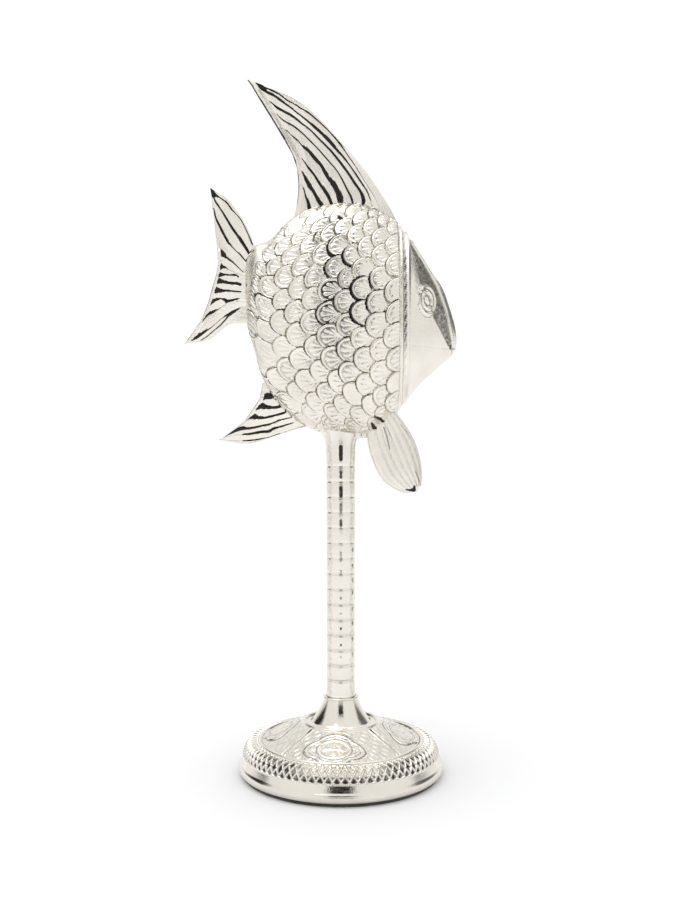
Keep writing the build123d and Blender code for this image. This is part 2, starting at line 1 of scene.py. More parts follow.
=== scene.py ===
import bpy
import math
import numpy as np
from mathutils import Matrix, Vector


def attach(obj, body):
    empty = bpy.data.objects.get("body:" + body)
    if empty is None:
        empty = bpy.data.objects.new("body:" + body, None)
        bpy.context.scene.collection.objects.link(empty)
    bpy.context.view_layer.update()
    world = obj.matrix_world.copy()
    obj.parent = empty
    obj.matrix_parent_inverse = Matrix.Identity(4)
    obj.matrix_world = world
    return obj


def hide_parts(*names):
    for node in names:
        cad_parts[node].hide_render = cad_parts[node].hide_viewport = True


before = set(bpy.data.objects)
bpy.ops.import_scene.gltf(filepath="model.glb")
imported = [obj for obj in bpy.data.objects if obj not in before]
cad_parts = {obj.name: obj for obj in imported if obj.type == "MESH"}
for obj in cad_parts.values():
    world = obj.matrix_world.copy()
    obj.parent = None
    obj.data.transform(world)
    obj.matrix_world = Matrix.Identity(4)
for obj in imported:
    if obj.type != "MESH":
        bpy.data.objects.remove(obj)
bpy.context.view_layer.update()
mm = 0.001
print("frame loaded:", len(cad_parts), "nodes")


# Small helpers
def deselectAll():
    if bpy.context.object and bpy.context.object.mode != "OBJECT":
        bpy.ops.object.mode_set(mode="OBJECT")
    bpy.ops.object.select_all(action="DESELECT")


def pickOnly(piece):
    deselectAll()
    bpy.context.view_layer.objects.active = piece
    piece.select_set(True)


def ramp(low, high, value):  # 0 below low, 1 above high, smooth between
    share = np.clip((value - low) / (high - low), 0, 1)
    return share * share * (3 - 2 * share)


def ridge(distance, width):  # a rounded ridge over a line
    return np.exp(-((distance / width) ** 2))


def dome(distance):  # a half round, 1 over the middle and 0 from distance 1
    return np.sqrt(np.clip(1 - distance**2, 0, 1))


def smoothThrough(knots, values, at):  # a smooth curve through a few chosen values
    knots, values = np.array(knots, float), np.array(values, float)
    slopes = np.gradient(values, knots)
    cell = np.clip(np.searchsorted(knots, at, side="right") - 1, 0, len(knots) - 2)
    width = knots[cell + 1] - knots[cell]
    t = (at - knots[cell]) / width
    rise, fall = values[cell], values[cell + 1]
    return (
        rise * (2 * t**3 - 3 * t**2 + 1)
        + fall * (3 * t**2 - 2 * t**3)
        + slopes[cell] * width * (t**3 - 2 * t**2 + t)
        + slopes[cell + 1] * width * (t**3 - t**2)
    )


def lineKnots(points):  # how far along a line its points lie, from 0 to 1, and the line's length
    steps = np.hypot(*np.diff(points, axis=0).T)
    return np.concatenate([[0], np.cumsum(steps)]) / steps.sum(), steps.sum()


def smoothLine(points, at):  # a smooth line through points
    points = np.array(points, float)
    knots, _ = lineKnots(points)
    return smoothThrough(knots, points[:, 0], at), smoothThrough(knots, points[:, 1], at)


def roundAxis(radius, turn, height):  # places round the stem's axis, from the front towards the nose
    return np.stack([radius * np.sin(turn), -radius * np.cos(turn), height], axis=2)


def addGrid(name, columns, rows):  # a flat unit grid whose points are then laid over a form
    deselectAll()
    bpy.ops.mesh.primitive_grid_add(x_subdivisions=columns, y_subdivisions=rows, size=1)
    piece = bpy.context.object
    piece.name = piece.data.name = name
    flat = np.zeros(len(piece.data.vertices) * 3)
    piece.data.vertices.foreach_get("co", flat)
    flat = flat.reshape(-1, 3) + 0.5
    return piece, np.rint(flat[:, 0] * columns).astype(int), np.rint(flat[:, 1] * rows).astype(int)


def layGrid(piece, column, row, places, patinaAndShade):  # moves every grid point to its place on the form
    piece.data.vertices.foreach_set("co", places[column, row].ravel())
    layer = piece.data.attributes.new("patinaAndShade", "FLOAT", "POINT")  # how dark the recess's patina is, with painted shade and painted reflection added in places
    layer.data.foreach_set("value", patinaAndShade[column, row].astype(np.float32))
    piece.data.update()


def gridNormals(places):
    normals = np.cross(np.gradient(places, axis=0), np.gradient(places, axis=1))
    return normals / np.maximum(np.linalg.norm(normals, axis=2, keepdims=True), 1e-12)


def lengthsAlong(x, z, axis):
    steps = np.hypot(np.diff(x, axis=axis), np.diff(z, axis=axis))
    start = np.zeros_like(np.take(x, [0], axis=axis))
    return np.concatenate([start, np.cumsum(steps, axis=axis)], axis=axis)


def strokeMarks(x, z, marks):  # how dark every point is under lines drawn through points
    dark = np.zeros(x.shape)
    for tone, *points in marks:
        for (ax, az, aw), (bx, bz, bw) in zip(points, points[1:]):
            px, pz, sx, sz = x / mm - ax, z / mm - az, bx - ax, bz - az
            part = np.clip((px * sx + pz * sz) / (sx**2 + sz**2), 0, 1)
            away = np.hypot(px - part * sx, pz - part * sz) - (aw + (bw - aw) * part) / 2
            dark = np.maximum(dark, tone * (1 - ramp(-0.2, 0.3, away)))
    return dark


def closeUp(piece, angle=60):  # merges seams, fills open ends, turns the faces outwards, shades smooth
    pickOnly(piece)
    bpy.ops.object.mode_set(mode="EDIT")
    bpy.ops.mesh.select_all(action="SELECT")
    bpy.ops.mesh.remove_doubles(threshold=0.00001)
    bpy.ops.mesh.fill_holes(sides=0)
    bpy.ops.mesh.select_all(action="SELECT")
    bpy.ops.mesh.normals_make_consistent(inside=False)
    bpy.ops.object.mode_set(mode="OBJECT")
    bpy.ops.object.shade_smooth_by_angle(angle=math.radians(angle))


def mirrorOver(piece):  # adds the other side of a fin across the middle plane
    pickOnly(piece)
    mirror = piece.modifiers.new("otherSide", "MIRROR")
    mirror.use_axis = (False, True, False)
    mirror.merge_threshold = 0.00002
    bpy.ops.object.modifier_apply(modifier=mirror.name)


def flippedCopy(piece, name):  # the same piece for the other side of the fish
    pickOnly(piece)
    bpy.ops.object.duplicate()
    other = bpy.context.object
    other.name = other.data.name = name
    bpy.ops.object.mode_set(mode="EDIT")
    bpy.ops.mesh.select_all(action="SELECT")
    bpy.ops.transform.resize(value=(1, -1, 1), center_override=(0, 0, 0))
    bpy.ops.mesh.normals_make_consistent(inside=False)
    bpy.ops.object.mode_set(mode="OBJECT")
    return other


def finishPiece(piece, material, slot, *nodes):
    piece.data.materials.clear()
    piece.data.materials.append(material)
    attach(piece, "root")
    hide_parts(*nodes)
    print("made", piece.name, "with", len(piece.data.polygons), "faces")


def finishPair(piece, otherName, material, slot, *nodes):  # the right piece and its flipped copy on the left
    for half, node in zip((piece, flippedCopy(piece, otherName)), nodes):
        finishPiece(half, material, slot, node)


# Materials
def newMaterial(name):
    material = bpy.data.materials.new(name)
    material.use_nodes = True
    tree = material.node_tree
    place = tree.nodes.new("ShaderNodeTexCoord").outputs["Object"]
    return material, tree, tree.nodes["Principled BSDF"], place


def addNoise(tree, place, scale, detail=4.0, roughness=0.5):
    noise = tree.nodes.new("ShaderNodeTexNoise")
    noise.inputs["Scale"].default_value = scale
    noise.inputs["Detail"].default_value = detail
    noise.inputs["Roughness"].default_value = roughness
    tree.links.new(place, noise.inputs["Vector"])
    return noise.outputs["Fac"]


def addSpread(tree, source, low, high, fromLow=0.3, fromHigh=0.7):
    spread = tree.nodes.new("ShaderNodeMapRange")
    spread.inputs["From Min"].default_value = fromLow
    spread.inputs["From Max"].default_value = fromHigh
    spread.inputs["To Min"].default_value = low
    spread.inputs["To Max"].default_value = high
    tree.links.new(source, spread.inputs["Value"])
    return spread.outputs["Result"]


def addMath(tree, operation, first, second=0.0):
    node = tree.nodes.new("ShaderNodeMath")
    node.operation = operation
    for socket, value in zip(node.inputs, (first, second)):
        if isinstance(value, (int, float)):
            socket.default_value = value
        else:
            tree.links.new(value, socket)
    return node.outputs["Value"]


def addColourMix(tree, factor, first, second):
    mix = tree.nodes.new("ShaderNodeMix")
    mix.data_type = "RGBA"
    tree.links.new(factor, mix.inputs["Factor"])
    for socket, value in ((mix.inputs["A"], first), (mix.inputs["B"], second)):
        if isinstance(value, tuple):
            socket.default_value = (*value, 1)
        else:
            tree.links.new(value, socket)
    return mix.outputs["Result"]


def addBump(tree, shader, height, strength, distance):
    bump = tree.nodes.new("ShaderNodeBump")
    bump.inputs["Strength"].default_value = strength
    bump.inputs["Distance"].default_value = distance
    tree.links.new(height, bump.inputs["Height"])
    tree.links.new(bump.outputs["Normal"], shader.inputs["Normal"])


nickel = dict(
    light=(0.815, 0.780, 0.715), shade=(0.735, 0.700, 0.640), patinaAndShade=(0.014, 0.012, 0.010),
    polish=0.06, haze=0.15, patinaRoughness=0.45, patinaMetal=0.4,
    cloudScale=60, grainScale=520, poreScale=1500, poreShare=0.4, bumpReach=0.5 * mm,
    ragged=(0.68, 1.22), patinaFrom=(0.17, 0.68),  # how uneven the patina's edge is, and how soft
)


def makeNickel(name, castBump, haze):  # polished nickel, dark where a recess keeps its patina and where shade and reflection are painted in
    material, tree, shader, place = newMaterial(name)
    clouds = addNoise(tree, place, nickel["cloudScale"])
    fine = addNoise(tree, place, nickel["grainScale"], 5, 0.6)
    pores = addNoise(tree, place, nickel["poreScale"], 3)
    metal = addColourMix(tree, addSpread(tree, clouds, 0, 1), nickel["light"], nickel["shade"])
    recess = tree.nodes.new("ShaderNodeAttribute")
    recess.attribute_name = "patinaAndShade"
    ragged = addMath(tree, "MULTIPLY", recess.outputs["Fac"], addSpread(tree, fine, *nickel["ragged"]))
    dark = addSpread(tree, ragged, 0, 1, *nickel["patinaFrom"])
    tree.links.new(addColourMix(tree, dark, metal, nickel["patinaAndShade"]), shader.inputs["Base Color"])
    sheen = addSpread(tree, fine, nickel["polish"] + haze, nickel["haze"] + haze)
    dull = addMath(tree, "MULTIPLY", dark, nickel["patinaRoughness"])
    tree.links.new(addMath(tree, "MAXIMUM", sheen, dull), shader.inputs["Roughness"])
    tree.links.new(addSpread(tree, dark, 1, nickel["patinaMetal"], 0, 1), shader.inputs["Metallic"])
    height = addMath(tree, "ADD", fine, addMath(tree, "MULTIPLY", pores, nickel["poreShare"]))
    addBump(tree, shader, height, castBump, nickel["bumpReach"])
    return material


castNickel = makeNickel("castNickel", castBump=0.34, haze=0.03)
polishedNickel = makeNickel("polishedNickel", castBump=0.12, haze=0.0)

zinc = dict(
    light=(0.66, 0.67, 0.69), shade=(0.50, 0.51, 0.54), smooth=0.28, rough=0.46,
    spangleScale=700, grainScale=900, bump=0.2, bumpReach=0.2 * mm,
)


def makeZinc():
    material, tree, shader, place = newMaterial("zincPlate")
    spangle = tree.nodes.new("ShaderNodeTexVoronoi")
    spangle.inputs["Scale"].default_value = zinc["spangleScale"]
    tree.links.new(place, spangle.inputs["Vector"])
    fine = addNoise(tree, place, zinc["grainScale"])
    tone = addSpread(tree, spangle.outputs["Distance"], 0, 1, 0, 0.8)
    tree.links.new(addColourMix(tree, tone, zinc["light"], zinc["shade"]), shader.inputs["Base Color"])
    tree.links.new(addSpread(tree, fine, zinc["smooth"], zinc["rough"]), shader.inputs["Roughness"])
    shader.inputs["Metallic"].default_value = 1
    addBump(tree, shader, fine, zinc["bump"], zinc["bumpReach"])
    return material


zincPlate = makeZinc()

feltLook = dict(
    dark=(0.012, 0.012, 0.014), light=(0.055, 0.053, 0.055), fuzz=0.35,
    fibreScale=2600, clumpScale=240, bump=0.7, bumpReach=0.4 * mm,
)


def makeFelt():
    material, tree, shader, place = newMaterial("blackFelt")
    fibres = addNoise(tree, place, feltLook["fibreScale"], 6, 0.7)
    clumps = addNoise(tree, place, feltLook["clumpScale"])
    mixed = addMath(tree, "MULTIPLY", fibres, addSpread(tree, clumps, 0.7, 1.3))
    tone = addSpread(tree, mixed, 0, 1)
    tree.links.new(addColourMix(tree, tone, feltLook["dark"], feltLook["light"]), shader.inputs["Base Color"])
    tree.links.new(addSpread(tree, fibres, 0.85, 1.0), shader.inputs["Roughness"])
    shader.inputs["Sheen Weight"].default_value = feltLook["fuzz"]
    addBump(tree, shader, mixed, feltLook["bump"], feltLook["bumpReach"])
    return material


blackFelt = makeFelt()
print("materials made")

# Body: two cast halves with overlapping scales, a gill band, an eye and a mouth
bodyLength = 125.5 * mm
bodyDepth = 136 * mm
bodyStart = Vector((-57 * mm, 0, 197.6 * mm))
body = dict(
    tailColumns=26, scaleColumns=196, headColumns=56, rows=344,
    halfThickness=30 * mm,
    stations=(  # along, top, bottom and half thickness, as shares
        (0.000, 0.828, 0.504, 0.180), (0.040, 0.834, 0.428, 0.320), (0.104, 0.847, 0.246, 0.490),
        (0.191, 0.912, 0.121, 0.700), (0.311, 0.974, 0.044, 0.900), (0.454, 1.000, 0.004, 1.000),
        (0.574, 0.989, 0.004, 0.993), (0.669, 0.945, 0.060, 0.940), (0.730, 0.908, 0.122, 0.893),
        (0.759, 0.882, 0.152, 0.860), (0.821, 0.801, 0.221, 0.687), (0.884, 0.710, 0.276, 0.460),
        (0.940, 0.629, 0.322, 0.273), (0.976, 0.530, 0.351, 0.167), (1.000, 0.456, 0.379, 0.087),
    ),
    marks=(  # pits that keep their patina, each with its darkness and its points as (x, z, width)
        (1.0, (-0.8, 321.6, 2.4), (0.2, 321.0, 2.4)),
        (0.8, (-13.6, 312.2, 0.8), (-15.0, 309.8, 1.2), (-15.4, 307.2, 0.6)),
        (1.0, (19.0, 209.4, 0.8), (22.0, 208.2, 1.8), (24.3, 206.6, 1.2)),
        (1.0, (17.6, 205.4, 1.4), (18.8, 203.4, 2.2), (20.6, 202.6, 1.2)),
    ),
    tailShare=0.085, headShare=0.762, noseShare=0.985, rootShare=0.018,
    heelShare=0.075, heelLeast=0.55, heelWidth=0.62, sectionRatio=0.45,
)
scale = dict(
    gillX=34.6 * mm, gap=3.3 * mm, columns=10, sideRows=8, pitch=13.2 * mm, columnPitch=9.1 * mm,
    reach=8.0 * mm, half=7.5 * mm, under=1.6, rootShare=0.55, seed=7, draws=(11, 18, 4),
    low=-0.30 * mm, high=1.95 * mm, crest=0.74,  # heights at the root and on the dome, and where its top is
    edge=0.80 * mm, rim=2.3 * mm, rimSoft=0.6 * mm,
    cut=0.38 * mm, petalTurn=22.0, petalRound=1.1 * mm, petalFan=(52, 70), petalRoot=(1.8 * mm, 3.6 * mm),
    bowZ=262 * mm, bowTop=88 * mm, bowBottom=78 * mm, bowLeast=0.12, bowEnd=(86 * mm, 95 * mm),
    shiftAlong=1.15 * mm, shiftRound=1.25 * mm, patinaAndShade=0.62, cutTone=0.42, edgeShadowTone=0.85,
    darkX=1 * mm, darkZ=277 * mm, darkWide=15 * mm, darkTall=34 * mm, plain=0.34,
    rearX=(-44 * mm, -26 * mm), rearZ=(215 * mm, 250 * mm), rearDepth=0.26, bellyZ=(198 * mm, 222 * mm),
)
head = dict(
    bandX=36.4 * mm, bandHalf=2.2 * mm, rimRise=0.8 * mm, grooveDepth=0.35 * mm, stipple=1.1 * mm,
    bandBack=((248, 251, 258, 269.5, 282.8, 291.5, 307), (65, 62.4, 58.6, 51.7, 46.6, 45.2, 40.0)),
    bandFront=((249.4, 256.9, 271.3, 285.7, 297.2, 308.7), (65.6, 64.2, 60.8, 55.6, 48.7, 41.3)),
    sink=0.5 * mm, bandShadeTone=0.56, crestShadeTone=0.62, crestZ=(250 * mm, 262 * mm),
    ribSet=0.7 * mm, ribRise=0.8 * mm, ribWidth=0.65 * mm, ribZ=(249 * mm, 253 * mm),
    beadPitch=1.5 * mm, beadShare=0.12,
    eyeX=49.4 * mm, eyeZ=275.2 * mm, eyeRadius=9.0 * mm, eyeStretch=1.6, eyeTone=0.50, eyeLine=0.05,
    mouthZ=249.2 * mm, mouthDepth=0.5 * mm, mouthTone=0.45,
    jawX=53.3 * mm, jawDrop=7.5 * mm, jawSlope=1.05, jawDepth=0.25 * mm,
    jawFoot=(228 * mm, 231 * mm), jawTop=(240 * mm, 243 * mm),
)


def bodyColumns():  # closer together over the scales and towards the nose
    tail = np.linspace(0, body["tailShare"], body["tailColumns"], endpoint=False)
    scaled = np.linspace(body["tailShare"], body["headShare"], body["scaleColumns"], endpoint=False)
    turn = np.linspace(0, math.pi / 2, body["headColumns"] + 1)
    return np.concatenate([tail, scaled, body["headShare"] + (1 - body["headShare"]) * np.sin(turn)])


def bodyPlaces(shares, rows):
    table = np.array(body["stations"]).T
    top, bottom, thick = (smoothThrough(table[0], values, shares) for values in table[1:])
    centre = bodyStart.z + (top + bottom) / 2 * bodyDepth
    nose = dome(np.clip((shares - body["noseShare"]) / (1 - body["noseShare"]), 0, 1))
    root = dome(np.clip(1 - shares / body["rootShare"], 0, 1))
    heel = dome(np.clip(1 - shares / body["heelShare"], 0, 1))
    high = (top - bottom) / 2 * bodyDepth * nose * (body["heelLeast"] + (1 - body["heelLeast"]) * heel)
    slim = body["heelWidth"] + (1 - body["heelWidth"]) * ramp(0, body["heelShare"], shares)
    wide = thick * body["halfThickness"] * nose * root * slim
    turn = np.linspace(-math.pi / 2, math.pi / 2, 2001)  # rows are spaced evenly along a typical section
    steps = np.hypot(body["sectionRatio"] * np.sin(turn), np.cos(turn))
    length = np.concatenate([[0], np.cumsum((steps[1:] + steps[:-1]) / 2)])
    turns = np.interp(np.linspace(0, length[-1], rows + 1), length, turn)
    places = np.zeros((len(shares), rows + 1, 3))
    places[:, :, 0] = (bodyStart.x + shares * bodyLength)[:, None]
    places[:, :, 1] = -wide[:, None] * np.cos(turns)[None, :]
    places[:, :, 2] = centre[:, None] + high[:, None] * np.sin(turns)[None, :]
    return places


def paintedScaleShade(x, z):  # painted shade: the scales' patina and edge shadows deepen in the middle of the flank and towards the tail
    middle = np.hypot((x - scale["darkX"]) / scale["darkWide"], (z - scale["darkZ"]) / scale["darkTall"])
    dark = scale["plain"] + (1 - scale["plain"]) * (1 - ramp(0.6, 1.5, middle))
    return dark + scale["rearDepth"] * (1 - ramp(*scale["rearX"], x)) * ramp(*scale["rearZ"], z)


def oneScale(along, across, inside, dark, shift):  # a domed scale with petals cut into it in a fan, patina in the cuts and a painted shadow along its free edge
    edge = (1 - inside) * scale["half"]
    fromRoot = along + scale["rootShare"] * scale["columnPitch"]
    far = np.hypot(fromRoot, across)
    full = scale["reach"] + scale["rootShare"] * scale["columnPitch"]
    swell = np.sin(np.clip(far / full, 0, 1) / scale["crest"] * math.pi / 2)
    swell = (scale["high"] * (1 + 0.12 * shift[2]) - scale["low"]) * (0.08 + 0.92 * swell)
    turn = np.degrees(np.arctan2(across, fromRoot)) + shift[2] * 6
    offset = np.abs(turn / scale["petalTurn"] - np.rint(turn / scale["petalTurn"])) * 2
    field = ramp(scale["rim"] - scale["rimSoft"], scale["rim"], edge) * ramp(*scale["petalRoot"], far)
    field = field * (1 - ramp(*scale["petalFan"], np.abs(turn)))
    petal = ramp(0, 0.8 * mm, edge - scale["rim"] - scale["petalRound"] * offset**2 - 0.2 * mm)
    petal = petal * (1 - ramp(0.45, 1.0, offset) * ramp(0, 2.5 * mm, far))
    cut = field * (1 - petal)
    height = scale["low"] + swell * ramp(0, scale["edge"], edge)
    height = height - cut * scale["cut"] * (0.9 + 0.3 * shift[3])
    facing = np.cos(np.radians(turn))
    broad = (0.55 + 1.35 * dark * ramp(0.2, 1, facing)) * mm  # painted shadow: a dark crescent along the free edge
    edgeShadow = (1 - ramp(0.4 * broad, broad, edge)) * ramp(0.2, 0.8, facing)
    cutTone, edgeShadowTone = scale["cutTone"] + 0.55 * shift[3], scale["edgeShadowTone"] + 0.75 * shift[2]
    return height, np.maximum(cut * cutTone, edgeShadow * edgeShadowTone)


def scaleRelief(x, z, girth):  # height of the overlapping scales, and their patina with painted shade
    bowReach = np.where(z > scale["bowZ"], scale["bowTop"], scale["bowBottom"])
    bow = np.sqrt(np.clip(1 - ((z - scale["bowZ"]) / bowReach) ** 2, scale["bowLeast"], 1))
    behind = (scale["gillX"] - x) / bow
    wobble = np.random.default_rng(scale["seed"]).uniform(-1, 1, scale["draws"])
    height, patinaAndShade = np.full(x.shape, scale["low"]), np.zeros(x.shape)
    dark = paintedScaleShade(x, z)
    free = np.ones(x.shape, bool)
    for column in range(scale["columns"]):  # gill to tail, so the scale nearer to the head lies on top
        for row in range(-scale["sideRows"], scale["sideRows"] + 1):
            shift = wobble[column, row + scale["sideRows"]]
            along = behind - scale["gap"] - column * scale["columnPitch"] - shift[0] * scale["shiftAlong"]
            across = girth - (row + column % 2 / 2) * scale["pitch"] - shift[1] * scale["shiftRound"]
            inside = np.hypot(np.maximum(along, 0) / scale["reach"], across / scale["half"])
            here = free & (inside < 1) & (along > -scale["under"] * scale["columnPitch"])
            if here.any():
                free &= ~here
                height[here], patinaAndShade[here] = oneScale(
                    along[here], across[here], inside[here], dark[here], shift
                )
    return height, patinaAndShade * scale["patinaAndShade"] * (0.6 + 0.9 * dark) * dark**0.5, behind


def headRelief(x, z, height, patinaAndShade):  # sunken crest band, beaded rib, eye, mouth and jaw line, with painted shade on the band and the crest
    inHead = ramp(0, 1.0 * mm, x - head["bandX"] - head["bandHalf"])
    along = (x - bodyStart.x) / bodyLength
    back = np.interp(z, *(np.array(side) * mm for side in head["bandBack"]))
    front = np.interp(z, *(np.array(side) * mm for side in head["bandFront"]))
    beads = 1 - head["beadShare"] + head["beadShare"] * np.cos(z / head["beadPitch"] * 2 * math.pi)
    rib = ridge(x - front - head["ribSet"], head["ribWidth"]) * beads * inHead * ramp(*head["ribZ"], z)
    sunk = ramp(-0.4 * mm, 0.5 * mm, x - back) * (1 - ramp(-0.4 * mm, 0.4 * mm, x - front)) * inHead
    height = height + head["ribRise"] * rib - head["sink"] * sunk
    # painted shade: the sunken band and the crest in front of it are darkened in their colour
    crest = ramp(1.6 * mm, 3.4 * mm, x - front) * ramp(*head["crestZ"], z) * inHead
    patinaAndShade = np.maximum(patinaAndShade, np.maximum(head["bandShadeTone"] * sunk, head["crestShadeTone"] * crest))
    eye = np.hypot((x - head["eyeX"]) * head["eyeStretch"], z - head["eyeZ"]) / head["eyeRadius"]
    lids = ridge(eye - 0.92, 0.10) + 0.85 * ridge(eye - 0.56, 0.09)
    height = height + (lids + 0.9 * dome(eye / 0.25) + 0.6 * (1 - ramp(0.75, 1.1, eye))) * mm
    lines = sum(ridge(eye - place, head["eyeLine"]) for place in (0.38, 0.74, 1.10))
    patinaAndShade = np.maximum(patinaAndShade * ramp(0.80, 1.05, eye), head["eyeTone"] * lines)
    mouth = ridge(z - head["mouthZ"], 0.5 * mm) * inHead
    height = height - head["mouthDepth"] * mouth * (0.25 + 0.75 * ramp(0.90, 0.97, along))
    toJaw = z - head["mouthZ"] + head["jawDrop"] - head["jawSlope"] * (x - head["jawX"])
    jaw = ridge(toJaw, 0.7 * mm) * inHead * ramp(*head["jawFoot"], z) * (1 - ramp(*head["jawTop"], z))
    height = height - head["jawDepth"] * jaw
    return height, np.maximum(patinaAndShade, head["mouthTone"] * mouth * ramp(0.955, 0.985, along))


def gillRelief(x, girth, height, patinaAndShade):  # two raised rims with a stippled groove between them
    across = np.abs(x - head["bandX"]) / head["bandHalf"]
    dots = np.sin(girth / head["stipple"] * 2.9) * np.sin(girth / head["stipple"] * 1.7 + x / mm * 2.3)
    groove = 1 - ramp(0.28, 0.62, across)
    height = height + head["rimRise"] * ridge(across - 0.82, 0.26)
    height = height - head["grooveDepth"] * groove * (1 - 0.5 * dots)
    darkest = ramp(-30 * mm, -12 * mm, girth) * (1 - ramp(28 * mm, 44 * mm, girth))
    return height, np.maximum(patinaAndShade, groove * (0.50 + 0.28 * dots) * (0.35 + 0.65 * darkest))


def bodyRelief(places):
    x, z = places[:, :, 0], places[:, :, 2]
    steps = np.linalg.norm(np.diff(places, axis=1), axis=2)
    length = np.concatenate([np.zeros((len(places), 1)), np.cumsum(steps, axis=1)], axis=1)
    girth = length - length[:, length.shape[1] // 2][:, None]
    height, patinaAndShade, behind = scaleRelief(x, z, girth)
    scaled = ramp(0.2 * mm, 2.2 * mm, head["bandX"] - head["bandHalf"] - x)
    scaled = scaled * (1 - ramp(*scale["bowEnd"], behind))
    belly = ramp(*scale["bellyZ"], z)  # shallower and paler under the belly
    height, patinaAndShade = height * scaled * (0.55 + 0.45 * belly), patinaAndShade * scaled * (0.45 + 0.55 * belly)
    height, patinaAndShade = gillRelief(x, girth, height, patinaAndShade)
    height, patinaAndShade = headRelief(x, z, height, patinaAndShade)
    patinaAndShade = np.maximum(patinaAndShade, strokeMarks(x, z, body["marks"]))
    along = (x - bodyStart.x) / bodyLength
    return height * ramp(0, 0.03, along) * (1 - ramp(0.985, 0.998, along)), patinaAndShade


def makeBody():
    shares = bodyColumns()
    piece, column, row = addGrid("rightBodyHalf", len(shares) - 1, body["rows"])
    places = bodyPlaces(shares, body["rows"])
    height, patinaAndShade = bodyRelief(places)
    normals = gridNormals(places)
    normals *= -np.sign(normals[:, :, 1:2] + 1e-9)  # outwards on the right side
    raised = places + normals * height[:, :, None]
    raised[:, :, 1] = np.minimum(raised[:, :, 1], 0)
    raised[:, 0, 1] = raised[:, -1, 1] = raised[0, :, 1] = raised[-1, :, 1] = 0
    layGrid(piece, column, row, raised, patinaAndShade)
    closeUp(piece)  # its open seam on the middle plane gets a face
    finishPair(piece, "leftBodyHalf", castNickel, "plated_casting", "right_body_shell", "left_body_shell")


makeBody()

# Fins: flat castings whose rays are parted by grooves that keep their dark patina, in mm
fins = dict(perRay=16, depth=0.7, edgeSlope=0.35, grooveLeast=0.15, grooveEnd=0.4, shadeAngle=20)


def finCurves(fin, along):  # the first edge, every groove and the last edge, each from root to rear edge
    first, last = ([(*point, 0) for point in fin[edge]] for edge in ("firstEdge", "lastEdge"))
    grooves = ([*groove, (*end, 0)] for groove, end in zip(fin["grooves"], fin["ends"]))
    places, widths = [], []
    for line in (first, *grooves, last):
        line = np.array(line, float)
        places.append(smoothLine(line[:, :2], along))
        knots, length = lineKnots(line[:, :2])
        end = fins["grooveEnd"] / length
        knots = np.concatenate([[0, knots[1] - end], knots[1:-1], [knots[-2] + end, 1]])
        widths.append(fin["widen"] * np.interp(along, knots, [0, 0, *line[1:-1, 2], 0, 0]))
    return np.array(places), np.array(widths)


def makeFin(name, fin, node):
    rayCount, perRay, rows = len(fin["grooves"]) + 1, fins["perRay"], fin["rows"]
    columns = rayCount * perRay
    piece, column, row = addGrid(name, columns, rows)
    curves, widths = finCurves(fin, np.linspace(0, 1, rows + 1))
    turn = np.arange(columns + 1) / perRay
    ray = np.minimum(turn.astype(int), rayCount - 1)
    part = (turn - ray)[:, None]
    placeX, placeZ = ((curves[ray, i] * (1 - part) + curves[ray + 1, i] * part) * mm for i in (0, 1))
    wide = np.hypot(curves[ray + 1, 0] - curves[ray, 0], curves[ray + 1, 1] - curves[ray, 1]) * mm
    toGroove = np.minimum(part * wide - widths[ray] / 2 * mm, (1 - part) * wide - widths[ray + 1] / 2 * mm)
    near = np.where(part < 0.5, widths[ray], widths[ray + 1]) > fins["grooveLeast"]
    groove = (1 - ramp(-0.25 * mm, 0.20 * mm, toGroove)) * near
    fromRoot, fromFirst = lengthsAlong(placeX, placeZ, 1), lengthsAlong(placeX, placeZ, 0)
    toRear, fromLast = fromRoot[:, -1:] - fromRoot, fromFirst[-1:] - fromFirst
    lean = part if fin["lean"] > 0 else 1 - part  # each ray is a slanted facet
    lean = lean * np.minimum(wide * abs(fin["lean"]), fin["drop"] * mm)
    half = (fin["rootHalf"] + (fin["tipHalf"] - fin["rootHalf"]) * fromRoot / fromRoot.max()) * mm
    half = half - lean - fins["depth"] * mm * groove * (1 - 0.5 * lean / (fin["drop"] * mm))
    half = half - fins["edgeSlope"] * np.maximum(fin["rim"] * mm - toRear, 0)
    for distance in (toRear, fromFirst, fromLast, fromRoot):
        half = half * dome(1 - np.clip(distance / (fin["rounding"] * mm), 0, 1))
    inside = ramp(0.2 * mm, 0.7 * mm, np.minimum(fromFirst, fromLast))
    dark = np.maximum(groove * inside, strokeMarks(placeX, placeZ, fin["marks"]))
    layGrid(piece, column, row, np.stack([placeX, -np.maximum(half, 0), placeZ], axis=2), dark)
    mirrorOver(piece)
    closeUp(piece, fins["shadeAngle"])
    finishPiece(piece, castNickel, "plated_casting", node)


